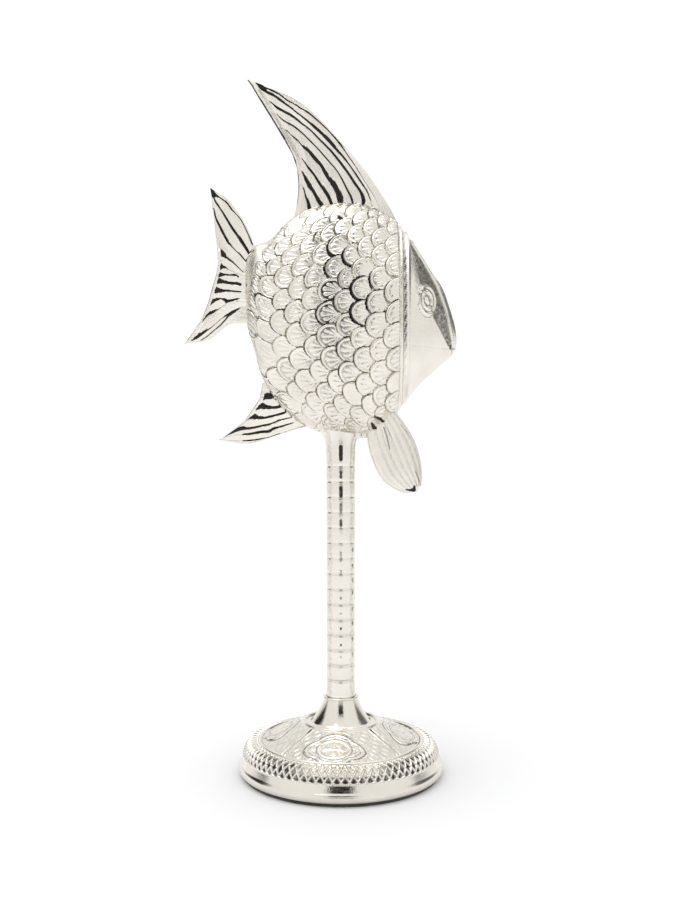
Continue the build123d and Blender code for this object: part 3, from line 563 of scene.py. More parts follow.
dorsal = dict(
    rows=230, lean=-0.3, drop=1.4, widen=1.45, rim=1.8, rootHalf=3.3, tipHalf=2.1, rounding=0.9,
    firstEdge=((-38, 306), (-35.5, 314), (-30.5, 321.5), (-26.8, 331), (-25.6, 338), (-25.0, 343.5)),
    lastEdge=((38, 313), (34.4, 321.8), (20.4, 346), (0.0, 371.4), (-24.1, 395.1), (-55.5, 408.75)),
    marks=(  # dark lines, each with its darkness and its points as (x, z, width)
        (1.0, (-55.3, 408.4, 0.8), (-52.8, 404.6, 1.6), (-49.6, 399.2, 1.5), (-45.8, 393.6, 1.2),
         (-41.6, 387.0, 0.9), (-36.6, 378.8, 0.7), (-33.4, 373.6, 1.0)),
        (0.7, (-33.4, 373.6, 1.0), (-29.4, 366.2, 0.5), (-26.9, 360.0, 0.9), (-25.4, 352.0, 0.9),
         (-24.8, 344.0, 0.7), (-25.6, 336.0, 0.6), (-27.4, 329.0, 0.6)),
        (1.0, (-50.0, 406.3, 0.6), (-47.4, 404.2, 2.6), (-44.4, 401.8, 1.6)),
    ),
    ends=(  # where each groove's line leaves the rear edge
        (-25.2, 348), (-25.9, 356.2), (-28.8, 364.6), (-38.0, 380.6), (-43.6, 389.7), (-47.9, 396.6),
        (-51.3, 402.4), (-53.1, 405.4),
    ),
    grooves=(  # each from the root outwards, as (x, z, width)
        ((-15, 322, 0), (-18.2, 331.2, 1.8), (-19.1, 334.7, 1.5), (-20.6, 338.8, 0.9),
         (-22.3, 344.2, 0.4)),
        ((-9.5, 323, 0), (-10.5, 331.8, 1.8), (-13.5, 337.1, 1.8), (-16.4, 342.4, 1.5),
         (-18.8, 345.9, 2.4), (-21.2, 350.1, 2.1), (-22.9, 353.6, 0.9)),
        ((-4.5, 324, 0), (-5.2, 333, 1.2), (-7, 338.3, 1.5), (-9.4, 342.4, 1.8), (-12.3, 346.5, 1.5),
         (-15.8, 351.8, 1.3), (-19.4, 356.5, 1.5), (-22.9, 361.3, 0.7)),
        ((2, 325, 0), (0.1, 333, 1.5), (-0.5, 337.1, 2.9), (-2.3, 342.4, 2.4), (-4.6, 346.5, 2.4),
         (-7.6, 350.1, 1.8), (-9.4, 353, 2.1), (-11.7, 357.1, 1.8), (-14.7, 360.7, 2.1),
         (-17.6, 364.2, 2.4), (-20.6, 367.1, 2.1), (-22.9, 368.9, 1.2), (-25.3, 371.9, 1.2),
         (-28.8, 374.8, 1.2), (-32.4, 378.4, 0.4)),
        ((8.5, 325, 0), (7.1, 333.5, 0.5), (6, 338.3, 0.8), (3.6, 343, 0.6), (0.7, 348.9, 0.6),
         (-2.9, 354.8, 0.5), (-6.4, 358.9, 0.6), (-10.5, 363.6, 0.6), (-14.7, 368.3, 0.6),
         (-18.8, 372.5, 0.8), (-23.5, 377.2, 0.9), (-28.2, 380.7, 1.1), (-32.4, 383.1, 1.1),
         (-35.9, 385.4, 1.2), (-38.2, 387.8, 0.6)),
        ((15, 325, 0), (12.5, 333, 0.6), (13.3, 335.9, 1.5), (11.9, 341.2, 1.2), (8.3, 346.5, 1.1),
         (4.8, 351.8, 0.9), (0.1, 358.3, 0.9), (-4.1, 363.6, 0.9), (-7.6, 367.7, 0.8),
         (-12.9, 373, 0.8), (-18.2, 378.4, 0.8), (-23.5, 382.5, 1.1), (-28.8, 386.6, 1.4),
         (-34.1, 389.6, 1.5), (-38.2, 391.9, 1.8), (-42.4, 395.4, 0.6)),
        ((20, 323, 0), (17.2, 337.1, 0.3), (14.8, 343, 0.5), (13, 345.9, 0.9), (9.5, 351.2, 0.8),
         (5.4, 357.1, 0.6), (1.3, 362.4, 0.8), (-2.9, 367.1, 1.1), (-6.4, 371.3, 1.5),
         (-11.1, 376, 1.3), (-16.4, 380.7, 1.2), (-20.6, 384.2, 0.8), (-25.9, 388.4, 0.7),
         (-31.2, 392.5, 0.9), (-35.9, 396, 1.2), (-40, 399, 1.3), (-44.1, 400.8, 1.5),
         (-47.1, 402.5, 1.2)),
        ((27, 320, 0), (19.5, 338.8, 0.3), (13.6, 348.3, 0.3), (8.3, 357.1, 0.4), (5.4, 361.3, 0.5),
         (0.1, 368.9, 0.5), (-4.6, 374.8, 0.6), (-9.4, 380.1, 0.6), (-14.7, 384.8, 0.6),
         (-20, 389, 0.6), (-24.1, 391.3, 0.6), (-27.6, 393.7, 0.4), (-31.2, 395.4, 0.6),
         (-35.9, 399, 0.6), (-40, 401.3, 0.9), (-43.6, 402.8, 0.8), (-47.7, 404.9, 1.5)),
    ),
)
makeFin("dorsalFin", dorsal, "dorsal_fin")

tail = dict(
    rows=150, lean=0.24, drop=1.4, widen=1.35, rim=1.6, rootHalf=3.3, tipHalf=2.1, rounding=0.9,
    firstEdge=((-50, 303), (-52.5, 314), (-60, 329), (-67.6, 338.5), (-77.4, 344.9)),
    lastEdge=((-49, 265), (-58, 264.5), (-64.5, 264.3), (-77.4, 255.0), (-93.4, 252.2)),
    ends=(
        (-77.0, 342.5), (-76.8, 340), (-76.0, 333), (-73.0, 307.5), (-72.9, 298.5), (-73.9, 293),
        (-75.0, 289.3), (-76.6, 284), (-78.4, 277), (-82.5, 266.6), (-91.6, 253.7),
    ),
    marks=(
        (1.0, (-77.0, 344.0, 0.5), (-75.8, 342.0, 2.2), (-74.6, 339.8, 2.6)),
        (0.55, (-76.2, 334.0, 0.3), (-74.6, 320.0, 0.4), (-73.2, 307.0, 0.4), (-73.4, 297.0, 0.5),
         (-76.0, 284.0, 0.6), (-80.0, 272.0, 0.6), (-86.4, 261.6, 0.8), (-91.0, 254.0, 0.6)),
        (0.8, (-65.4, 270.0, 1.2), (-67.6, 266.9, 0.9), (-71.2, 263.0, 0.7), (-75.4, 259.6, 0.6),
         (-79.0, 256.6, 0.6), (-82.6, 254.4, 0.5)),
    ),
    grooves=(
        ((-47, 303, 0), (-51.8, 310.5, 0.9), (-55.3, 318.2, 0.5), (-58.9, 325.3, 0.4),
         (-61.8, 328.8, 0.2), (-64.2, 331.2, 0.7), (-67.1, 335.3, 0.7), (-71.3, 338.3, 0.4),
         (-74.2, 340.3, 1.5)),
        ((-46.5, 299, 0), (-50.6, 303.5, 1.8), (-53, 304.1, 1.5), (-55.3, 307.6, 1.5),
         (-58.3, 312.3, 1.8), (-61.2, 316.4, 1.2), (-64.2, 320.6, 1.1), (-66.6, 324.7, 1.1),
         (-69.5, 329.4, 0.9), (-71.9, 333, 0.8), (-74.2, 336.5, 0.9), (-76, 340, 2.1)),
        ((-46, 296, 0), (-53.6, 298.2, 1.2), (-55.9, 300.5, 0.9), (-59.5, 304.7, 0.8),
         (-61.8, 307, 0.5), (-65.4, 310.5, 0.9), (-67.7, 313.5, 2.2), (-70.1, 318.2, 2.3),
         (-71.9, 321.7, 1.8), (-73.6, 325.3, 1.9), (-74.8, 329.4, 1.1), (-75.4, 332.4, 0.6)),
        ((-46, 292, 0), (-57.7, 294.6, 0.7), (-60.7, 297.6, 0.9), (-63.6, 300.5, 1.2),
         (-66.6, 302.9, 1.5), (-68.9, 304.9, 2.7), (-70.4, 306.4, 4.1)),
        ((-46, 289, 0), (-66, 295.8, 0.2), (-67.7, 297, 0.7), (-69.5, 297.6, 1.5), (-70.7, 297.9, 3.2)),
        ((-46, 286, 0), (-60.1, 291.7, 0.6), (-61.8, 292.6, 0.9), (-65.4, 292.7, 0.5),
         (-68.9, 292.9, 0.9), (-71.6, 292.9, 2.4)),
        ((-46, 283, 0), (-58.9, 287, 1.2), (-61.2, 287.6, 1.3), (-65.4, 288.1, 1.1),
         (-68.9, 288.7, 1.3), (-72.4, 289.3, 2.7)),
        ((-46, 280, 0), (-58.9, 282.8, 0.6), (-61.8, 283.1, 0.7), (-65.4, 283.4, 0.8),
         (-68.9, 283.4, 1.1), (-72.4, 283.7, 2.4), (-73.9, 284, 2.9)),
        ((-46, 277, 0), (-60.1, 278.4, 1.1), (-63.6, 277.5, 1.8), (-66.6, 276.9, 2.1),
         (-68.3, 278.1, 1.1), (-70.7, 278.7, 0.7), (-73.6, 278.1, 1.8), (-76, 276.9, 2.9)),
        ((-46, 274.5, 0), (-67.7, 275.8, 0.4), (-71.9, 272.8, 0.9), (-75.4, 271, 1.8),
         (-78.3, 269.6, 2.9), (-80.4, 267.2, 3.2)),
        ((-46.5, 271.5, 0), (-59.5, 273.4, 0.9), (-62.4, 271.6, 1.8), (-65.4, 269.9, 2.4),
         (-67.7, 269, 0.9), (-71.3, 266.3, 0.6), (-75.4, 262.8, 0.6), (-78.9, 260.4, 1.2),
         (-82.5, 258.1, 2.4), (-84.8, 256.6, 3.0), (-87.4, 254.8, 2.0)),
    ),
)
makeFin("tailFin", tail, "tail_fin")

anal = dict(
    rows=150, lean=0.2, drop=1.2, widen=1.3, rim=1.6, rootHalf=3.2, tipHalf=1.9, rounding=1.0,
    firstEdge=((-42, 233), (-44, 231), (-46.3, 229.1)),
    lastEdge=((-6, 203), (-16.5, 203.7), (-28.2, 201.6), (-40.5, 197.5), (-52.6, 193.5), (-73.9, 195.9)),
    ends=((-48.2, 219.8), (-52.4, 213.6), (-57.0, 207.0), (-68.8, 197.9), (-71.0, 196.6), (-72.6, 195.8)),
    marks=(
        (0.6, (-46.4, 224.0, 0.4), (-52.4, 215.4, 0.5), (-58.8, 208.2, 0.5), (-66.0, 201.8, 0.6),
         (-71.2, 198.0, 0.8), (-73.4, 196.4, 0.9)),
    ),
    grooves=(
        ((-32, 226, 0), (-38.2, 222.1, 2.1), (-40.6, 221.5, 2.7), (-43, 221.5, 2.9), (-45, 220.6, 2.9)),
        ((-28, 222, 0), (-33.5, 216.2, 0.9), (-35.9, 215.3, 1.3), (-40.6, 214.7, 1.2),
         (-44.1, 215, 2.1), (-47.1, 215.6, 3.2), (-49.2, 214.4, 2.7)),
        ((-25, 218.5, 0), (-32.4, 211.8, 0.8), (-35.3, 210.9, 1.1), (-40.6, 209.4, 1.2),
         (-45.3, 208.5, 1.2), (-48.9, 208.5, 2.1), (-51.8, 209.1, 3.5), (-54.5, 207.7, 2.1)),
        ((-21, 215, 0), (-28.2, 209.1, 0.2), (-32.9, 208, 0.5), (-36.5, 207.1, 0.8), (-41.8, 205, 0.9),
         (-46.5, 204.1, 1.1), (-51.2, 203.1, 1.2), (-55.3, 202.5, 1.2), (-58.9, 202.7, 2.4),
         (-61.8, 201.8, 2.4), (-64.8, 200, 2.7), (-67.1, 198.5, 1.5)),
        ((-17, 211, 0), (-28.2, 205.6, 0.4), (-32.4, 204.4, 0.6), (-35.9, 203.2, 0.7),
         (-40, 202.1, 1.1), (-41.8, 200.9, 1.1), (-46.5, 200.3, 1.2), (-50.6, 199.7, 0.9),
         (-54.2, 199.1, 0.9), (-57.7, 198.8, 0.6)),
        ((-12, 207, 0), (-35.9, 199.1, 0.6), (-38.8, 198.2, 0.4), (-43, 196.8, 0.6),
         (-46.5, 196.3, 0.5), (-50.6, 195.6, 0.6), (-54.2, 195.3, 0.6), (-57.7, 195, 0.4)),
    ),
)
makeFin("analFin", anal, "anal_fin")

# Pelvic fins: a pair of blunt leaves with faint veins, hung from the belly and splayed outwards
leaf = dict(
    columns=96, rows=140, length=44.5 * mm, width=25.6 * mm, half=1.8 * mm, thinnest=0.85, rounding=1.3 * mm,
    leftShares=(  # its two edges from the belly down, as shares of the width and the length
        (-0.25, 0.200), (-0.410, 0.0), (-0.525, -0.310), (-0.490, -0.670), (-0.210, -0.920), (0.1, -1),
    ),
    rightShares=(
        (0.25, 0.200), (0.385, 0.0), (0.490, -0.390), (0.410, -0.740), (0.270, -0.930), (0.1, -1),
    ),
    place=(24.83 * mm, -8 * mm, 205.1 * mm), tilt=21.8, splay=7.0, turnOut=0.24,
    veins=7, veinDepth=0.05 * mm,
    marks=(  # dark lines, each with its darkness and its points as (x, z, width)
        (0.55, (25.0, 202.5, 0.8), (26.8, 197.0, 0.9), (28.4, 189.8, 0.5)),
        (0.45, (26.8, 203.0, 0.5), (28.6, 198.0, 0.6), (30.2, 194.5, 0.3)),
        (0.45, (34.6, 204.0, 0.4), (37.4, 200.5, 0.6), (39.4, 197.0, 0.3)),
        (0.50, (42.6, 177.5, 0.4), (44.8, 172.0, 0.7), (46.4, 168.2, 0.5)),
        (1.00, (20.0, 209.3, 1.0), (22.4, 208.0, 1.8), (24.8, 206.3, 1.6)),
        (1.00, (18.2, 204.8, 1.6), (19.8, 202.5, 2.2), (20.6, 202.0, 1.0)),
        (1.00, (37.5, 166.5, 0.6), (40.0, 166.2, 1.2), (42.0, 166.5, 2.2), (42.4, 168.5, 1.0)),
    ),
)


def makeLeaves():
    piece, column, row = addGrid("rightPelvicLeaf", leaf["columns"], 2 * leaf["rows"])
    across = np.linspace(0, 1, leaf["columns"] + 1)[:, None]
    along = np.linspace(0, 1, leaf["rows"] + 1)
    leftX, leftY = smoothLine(leaf["leftShares"], along)
    rightX, rightY = smoothLine(leaf["rightShares"], along)
    x = (leftX * (1 - across) + rightX * across) * leaf["width"]
    y = (leftY * (1 - across) + rightY * across) * leaf["length"]
    fromLeft = lengthsAlong(x, y, 0)
    fromTop = lengthsAlong(x, y, 1)
    toEdge = np.minimum(np.minimum(fromLeft, fromLeft[-1:] - fromLeft), fromTop[:, -1:] - fromTop)
    half = leaf["half"] * (leaf["thinnest"] + (1 - leaf["thinnest"]) * ramp(0, 5 * mm, toEdge))
    half = half * dome(1 - np.clip(toEdge / leaf["rounding"], 0, 1))
    veins = np.cos(across * leaf["veins"] * 2 * math.pi) * ramp(1 * mm, 3 * mm, toEdge)
    half = half - leaf["veinDepth"] * veins
    tilt, splay = math.radians(leaf["tilt"]), math.radians(leaf["splay"])
    right = np.array((math.cos(tilt), 0, math.sin(tilt)))
    out = np.array((-math.sin(tilt) * math.sin(splay), -math.cos(splay), math.cos(tilt) * math.sin(splay)))
    up = np.cross(out, right)
    middle = np.array(leaf["place"]) + x[:, :, None] * (right + leaf["turnOut"] * out) + y[:, :, None] * up
    front, back = middle + half[:, :, None] * out, middle - half[:, :, None] * out
    places = np.concatenate([front, back[:, -2::-1]], axis=1)
    patinaAndShade = strokeMarks(middle[:, :, 0], middle[:, :, 2], leaf["marks"])
    patinaAndShade = np.concatenate([patinaAndShade, patinaAndShade[:, -2::-1]], axis=1)
    layGrid(piece, column, row, places, patinaAndShade)
    closeUp(piece)
    finishPair(piece, "leftPelvicLeaf", castNickel, "plated_casting", "right_pelvic_fin", "left_pelvic_fin")


makeLeaves()

def finishTurned(grid, places, patinaAndShade, node):
    layGrid(*grid, places, patinaAndShade)
    closeUp(grid[0])
    finishPiece(grid[0], polishedNickel, "plated_casting", node)


# Stem: a turned bar with scored rings, dark dashes painted up its front and back as reflection, and a head
# that flares along the belly
stem = dict(
    columns=120, rowPitch=0.5 * mm, bottom=35.2 * mm, top=212 * mm, radius=8.6 * mm, barrel=0.04 * mm,
    firstRing=54.7 * mm, ringPitch=8.97 * mm, ringCount=15, ringDepth=0.38 * mm, ringWidth=0.50 * mm,
    flareStart=190 * mm, flareTop=206 * mm, flareReach=9.6 * mm, flarePower=2.2, sideFlare=0.10,
    flareEnd=(207 * mm, 212 * mm), neckZ=(180 * mm, 189 * mm), neckRise=0.2 * mm,
    ringTone=0.36, ringFade=0.20, ringFadeZ=(105 * mm, 135 * mm), ringShade=0.42 * mm,
    sideShadeTone=0.26, sideShadePlace=0.75, sideShadeWidth=0.30, sidePower=1.6, speckTone=0.55, speckTurn=0.92,
    reflectionDashes=(  # painted reflection: dark dashes up the front and the back, as top, foot and width in mm and darkness
        (191.6, 184.0, 2.0, 1.0), (176.9, 173.6, 1.4, 0.8), (167.6, 162.8, 2.0, 0.8),
        (157.9, 154.2, 1.8, 0.62), (148.4, 145.4, 1.8, 0.62), (129.8, 125.0, 1.6, 0.42),
        (119.2, 116.8, 1.4, 0.4), (103.6, 102.9, 1.2, 0.52), (94.6, 94.2, 1.0, 0.5),
        (86.0, 85.2, 1.2, 0.72), (76.2, 75.7, 1.2, 0.62), (69.2, 68.8, 1.0, 0.46),
    ),
    specks=(130.8, 121.4, 113.2, 105.9, 96.4, 87.9, 78.6, 69.8),  # small pits beside the dashes
)


def makeStem():
    rows = round((stem["top"] - stem["bottom"]) / stem["rowPitch"])
    grid = addGrid("ringedStem", stem["columns"], rows)
    turn = np.linspace(0, 2 * math.pi, stem["columns"] + 1)[:, None]
    z = np.linspace(stem["bottom"], stem["top"], rows + 1)[None, :] + 0 * turn
    step = (z - stem["firstRing"]) / stem["ringPitch"]
    ringed = (step > -1.0) & (step < stem["ringCount"])
    nearest = np.clip(np.rint(step), 0, stem["ringCount"] - 1)
    fromRing = z - stem["firstRing"] - nearest * stem["ringPitch"]
    inSegment = step - np.floor(step)
    radius = stem["radius"] + stem["barrel"] * (4 * inSegment * (1 - inSegment) - 1) * ringed
    radius = radius - stem["ringDepth"] * ridge(fromRing, stem["ringWidth"])
    radius = radius + stem["neckRise"] * ramp(*stem["neckZ"], z)
    flare = np.clip((z - stem["flareStart"]) / (stem["flareTop"] - stem["flareStart"]), 0, 1)
    flare = flare ** stem["flarePower"] * (1 - ramp(*stem["flareEnd"], z))
    sideways = np.abs(np.sin(turn)) ** stem["sidePower"]
    radius = radius + flare * stem["flareReach"] * (stem["sideFlare"] + (1 - stem["sideFlare"]) * sideways)
    streak = 0.5 * np.sin(turn * 31 + step * 9) * np.sin(turn * 13 + step * 5)
    # the ring lines' patina is darker towards the bottom
    tone = stem["ringTone"] - stem["ringFade"] * ramp(*stem["ringFadeZ"], z)
    patinaAndShade = ridge(fromRing, stem["ringShade"]) * (0.75 + 0.5 * streak) * tone
    # painted shade: grey bands down the left and right sides of the stem
    sides = stem["sideShadeTone"] * ridge(np.abs(np.sin(turn)) - stem["sideShadePlace"], stem["sideShadeWidth"])
    patinaAndShade = np.maximum(patinaAndShade, sides * (1 + 0.2 * streak))
    around = radius * (turn - math.pi * np.rint(turn / math.pi))  # 0 up the front and the back
    # painted reflection: dark dashes down the middle of the front and the back of the stem
    reflectionDashes = [(tone, (0, top, wide), (0, foot, wide)) for top, foot, wide, tone in stem["reflectionDashes"]]
    specks = [(stem["speckTone"], (0, rise + 0.8, 1.8), (0, rise - 0.6, 1.2)) for rise in stem["specks"]]
    patinaAndShade = np.maximum(patinaAndShade, strokeMarks(around, z, reflectionDashes))
    patinaAndShade = np.maximum(patinaAndShade, strokeMarks(around - stem["radius"] * stem["speckTurn"], z, specks))
    finishTurned(grid, roundAxis(radius, turn, z), patinaAndShade, "stem")


makeStem()


# Base: a turned foot with a rounded rim, a lattice band, a medallion plate and a collar
def turnedGrid(name, outline, columns):  # a grid to lay round the axis along an outline of (radius, height)
    grid = addGrid(name, columns, len(outline) - 1)
    return grid, np.array(outline) * mm, np.linspace(0, 2 * math.pi, columns + 1)[:, None]


def turnedPlaces(outline, turn, lift):  # the outline turned round the axis and raised by lift, in mm
    steps = np.gradient(outline, axis=0)
    steps /= np.maximum(np.linalg.norm(steps, axis=1, keepdims=True), 1e-12)
    radius = outline[:, 0] + lift * mm * steps[:, 1]
    return roundAxis(radius, turn, outline[:, 1] - lift * mm * steps[:, 0])


def roundRun(start, middle, end, count):  # points of a round arc, its last point left out
    (ax, ay), (bx, by), (cx, cy) = start, middle, end
    d = 2 * (ax * (by - cy) + bx * (cy - ay) + cx * (ay - by))
    ux = ((ax**2 + ay**2) * (by - cy) + (bx**2 + by**2) * (cy - ay) + (cx**2 + cy**2) * (ay - by)) / d
    uy = ((ax**2 + ay**2) * (cx - bx) + (bx**2 + by**2) * (ax - cx) + (cx**2 + cy**2) * (bx - ax)) / d
    first, mid, last = (math.atan2(y - uy, x - ux) for x, y in (start, middle, end))
    sweep = (last - first) % (2 * math.pi)
    if (mid - first) % (2 * math.pi) > sweep:
        sweep -= 2 * math.pi
    size = math.hypot(ax - ux, ay - uy)
    return [
        (ux + size * math.cos(first + sweep * i / count), uy + size * math.sin(first + sweep * i / count))
        for i in range(count)
    ]


def straightRun(start, end, count):  # points of a straight run, its last point left out
    return [
        (start[0] + (end[0] - start[0]) * i / count, start[1] + (end[1] - start[1]) * i / count)
        for i in range(count)
    ]


def beadRun(outer, inner, level, rise):  # points of a round bead
    return roundRun((outer, level), ((outer + inner) / 2, level + rise), (inner, level), 9)


band = dict(  # outline points are (radius, height) in mm
    columns=936, cells=78, cellRows=3.6, cellRadius=53, cellShift=0.35, rows=54,
    under=(54.0, 1.5), rim=((56.6, 1.5), (59.98, 4.9), (58.785, 7.505)),
    foot=(56.9, 11.4), bulge=(54.45, 17.2), top=(48.4, 19.4),
    inside=((47.6, 18.6), (46.5, 15.0), (53.7, 11.4), (53.8, 1.6)),
    cord=0.55, cordWidth=0.52, sink=0.55, tongue=0.6, patinaAndShade=0.70,
)


def makeLatticeFoot():
    rim, top = band["rim"], band["top"]
    outline = straightRun(band["under"], rim[0], 3) + roundRun(*rim, 14)
    outline += straightRun(rim[2], band["foot"], 8)
    start = len(outline)
    outline += roundRun(band["foot"], band["bulge"], top, band["rows"])
    end = len(outline)
    outline += [top, *band["inside"], band["under"]]
    grid, outline, turn = turnedGrid("latticeFoot", outline, band["columns"])
    index = np.arange(len(outline))[None, :]
    share = np.clip((index - start) / (end - start), 0, 1)
    on = ramp(0.0, 0.05, share) * (1 - ramp(0.93, 1.0, share)) * (index <= end)
    cell = turn / (2 * math.pi) * band["cells"]
    rise = share * band["cellRows"]
    cellWide = 2 * math.pi * band["cellRadius"] / band["cells"]
    lean = (rise - band["cellShift"]) / 2  # the cords cross in diamonds
    one, two = (((cell + way * lean + 0.5) % 1 - 0.5) * cellWide for way in (1, -1))
    cords = np.maximum(ridge(one, band["cordWidth"]), ridge(two, band["cordWidth"]))
    between = np.clip(1 - cords * 1.15, 0, 1)
    lobe = np.abs(np.cos(math.pi * cell))  # tongues that close the lowest row
    tongues = 1 - ramp(0.05 + 0.24 * lobe, 0.12 + 0.26 * lobe, rise)
    edge = ramp(0.02 + 0.20 * (1 - lobe), 0.06 + 0.22 * (1 - lobe), rise)
    lift = on * (band["cord"] * cords - band["sink"] * between) * (1 - tongues)
    lift = lift + band["tongue"] * tongues * edge * on
    fromFront = np.abs((turn + math.pi) % (2 * math.pi) - math.pi)
    holeShade = ramp(0.25, 0.60, fromFront) * (1 - 0.5 * ramp(1.05, 1.3, fromFront))
    holeShade = np.maximum(holeShade, 1 - ramp(0.9, 1.3, rise))  # painted shade: the holes are darkest at the sides, half as dark at the back and palest at the front, and the lowest row stays dark
    holes = (on * between * (1 - tongues)) ** 1.5 * band["patinaAndShade"] * (0.30 + 0.70 * holeShade)
    finishTurned(grid, turnedPlaces(outline, turn, lift), holes, "base")


plate = dict(  # in mm
    columns=680, plateRows=78, start=(47.8, 16.2), ringRadius=48.4, ringInner=46.6, ringZ=19.4, ringRise=0.95,
    inner=22.6, top=29.7, innerBead=20.4, beadRise=1.15, collarFoot=17.6, collarTop=10.0, collarLip=43.7,
    collarZ=44.9, waist=(13.4, 36.0), lip=(10.6, 44.3),
    socket=((10.0, 44.9), (8.75, 44.9), (8.75, 35.0), (4.5, 34.9), (4.5, 28.95)),
    under=((13.0, 28.9), (16.6, 26.1), (22.6, 26.1), (44.8, 15.8), (47.8, 16.2)),
    medallionCount=4, medallionTurn=-6.0, middle=36.0, halfWide=16.2, halfDeep=10.6,
    rosetteWide=8.6, rosetteDeep=6.4, beadRing=6.5, beadCount=28, petalCount=4, scrollTurns=9,
    line=0.50, rise=0.50, strapGap=1.3, strapHalf=0.5,
    patinaAndShade=0.80, backgroundTone=0.38,
)


def plateRelief(radius, turn):  # medallions, straps and leaves, as a rise in mm and a patina with painted shadow
    quarter = 2 * math.pi / plate["medallionCount"]
    swing = math.radians(plate["medallionTurn"])
    local = (turn - swing + quarter / 2) % quarter - quarter / 2
    a, b = radius * np.sin(local), radius * np.cos(local) - plate["middle"]
    angle = np.arctan2(b / plate["halfDeep"], a / plate["halfWide"])
    rho = np.hypot(a / plate["halfWide"], b / plate["halfDeep"])
    outline = 1 - 0.20 * np.abs(np.sin(2 * angle)) ** 0.75 + 0.07 * np.abs(np.sin(4 * angle))
    toLine = (rho - outline) * plate["halfDeep"]
    frameLine = ridge(toLine, plate["line"]) + 0.55 * ridge(toLine + 1.7, 0.4)
    within = 1 - ramp(-0.4, 0.2, toLine)
    rose = np.hypot(a / plate["rosetteWide"], b / plate["rosetteDeep"])
    roseTurn = np.arctan2(b / plate["rosetteDeep"], a / plate["rosetteWide"])
    toBeads = (rose - 1) * plate["beadRing"]
    beads = ridge(toBeads, 0.65) * (0.45 + 0.55 * np.cos(roseTurn * plate["beadCount"]) ** 2)
    petals = np.clip(np.cos(roseTurn * plate["petalCount"]), 0, 1) ** 0.6
    petals = petals * dome(np.clip((rose - 0.48) / 0.30, -1, 1))
    centre = dome(np.clip(rose / 0.20, 0, 1))
    scroll = np.clip(np.sin(angle * plate["scrollTurns"] + rho * 6), 0, 1) * ramp(1.12, 1.25, rose) * 0.55
    inner = np.maximum(beads, np.maximum(petals * 0.8, centre)) + scroll
    medallion = np.maximum(frameLine, inner * within)
    strapTurn = turn % quarter - quarter / 2
    strapAcross = np.abs(radius * np.sin(strapTurn))
    straps = ridge(strapAcross - plate["strapGap"], plate["strapHalf"])  # a pair between the medallions
    leaves = np.clip(np.sin(radius * 1.15 + strapAcross * 1.2), -0.2, 1)
    leaves = leaves * np.clip(np.cos(strapAcross * 1.9 + radius * 0.4), 0, 1)
    outside = ramp(0.5, 1.3, toLine) * ramp(2.4, 3.2, strapAcross)
    edge = ramp(plate["inner"] + 0.2, plate["inner"] + 1.2, radius)
    edge = edge * (1 - ramp(plate["ringInner"] - 1.2, plate["ringInner"] - 0.2, radius))
    rise = (np.maximum(medallion, straps) + 0.55 * leaves * outside) * edge
    background = (1 - np.clip(rise * 1.6, 0, 1)) * edge
    # painted shadow beside the frame lines and the bead ring, and painted shade in the gap between each pair
    # of straps, darker near the collar
    shadow = ridge(toLine - 1.0, 0.4) + 0.8 * ridge(toLine + 0.9, 0.3) + 0.9 * ridge(toBeads - 1.0, 0.3)
    gap = ridge(strapAcross, 0.6) * (0.7 + 1.3 * (1 - ramp(24, 29, radius)))
    dark = np.maximum(plate["backgroundTone"] * background, np.maximum(shadow, gap) * edge)
    return plate["rise"] * rise, dark


def makeMedallionPlate():
    ring, bead, collar = plate["ringRadius"], plate["inner"], plate["collarTop"]
    outline = straightRun(plate["start"], (ring, plate["ringZ"] - 0.4), 3)
    outline += beadRun(ring, plate["ringInner"], plate["ringZ"], plate["ringRise"])
    first = len(outline)
    outline += straightRun((plate["ringInner"], plate["ringZ"]), (bead, plate["top"]), plate["plateRows"])
    last = len(outline)
    outline += beadRun(bead, plate["innerBead"], plate["top"], plate["beadRise"])
    outline += straightRun((plate["innerBead"], plate["top"]), (plate["collarFoot"], plate["top"]), 3)
    outline += roundRun((plate["collarFoot"], plate["top"]), plate["waist"], (collar, plate["collarLip"]), 14)
    outline += roundRun((collar, plate["collarLip"]), plate["lip"], (collar, plate["collarZ"]), 6)
    outline += [*plate["socket"], *plate["under"]]
    grid, outline, turn = turnedGrid("medallionPlate", outline, plate["columns"])
    index = np.arange(len(outline))[None, :]
    on = (index >= first) & (index <= last)
    lift, dark = plateRelief(outline[:, 0] / mm + 0 * turn, turn + 0 * index)
    places = turnedPlaces(outline, turn, lift * on)
    radius = np.hypot(places[:, :, 0], places[:, :, 1]) / mm
    grain = 0.775 + 0.225 * np.sin(turn * 97 + radius * 3.1) * np.sin(turn * 41 - radius * 4.3)
    # the seam inside the outer bead stays dark
    seam = ridge(index - first - 0.5, 1.1) * (0.45 + 0.35 * np.sin(turn * 5 + 1))
    finishTurned(grid, places, np.maximum(plate["patinaAndShade"] * dark * grain * on, seam), "base")


makeLatticeFoot()
makeMedallionPlate()

# Felt pad under the foot
pad = dict(radius=57.4 * mm, thickness=1.5 * mm, sides=256, soften=0.35 * mm, softSteps=3, shadeAngle=40)


def makePad():
    deselectAll()
    bpy.ops.mesh.primitive_cylinder_add(
        vertices=pad["sides"], radius=pad["radius"], depth=pad["thickness"],
        location=(0, 0, pad["thickness"] / 2),
    )
    piece = bpy.context.object
    piece.name = piece.data.name = "feltPad"
    bpy.ops.object.transform_apply(location=True, rotation=False, scale=False)
    soften = piece.modifiers.new("softEdge", "BEVEL")
    soften.width = pad["soften"]
    soften.segments = pad["softSteps"]
    soften.limit_method = "ANGLE"
    bpy.ops.object.modifier_apply(modifier=soften.name)
    bpy.ops.object.shade_smooth_by_angle(angle=math.radians(pad["shadeAngle"]))
    finishPiece(piece, blackFelt, "felt", "felt_pad")


makePad()

for node in ("tie_bolt", "spring_washer", "plain_washer"):  # hidden fasteners keep their own solids
    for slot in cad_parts[node].material_slots:
        slot.material = zincPlate


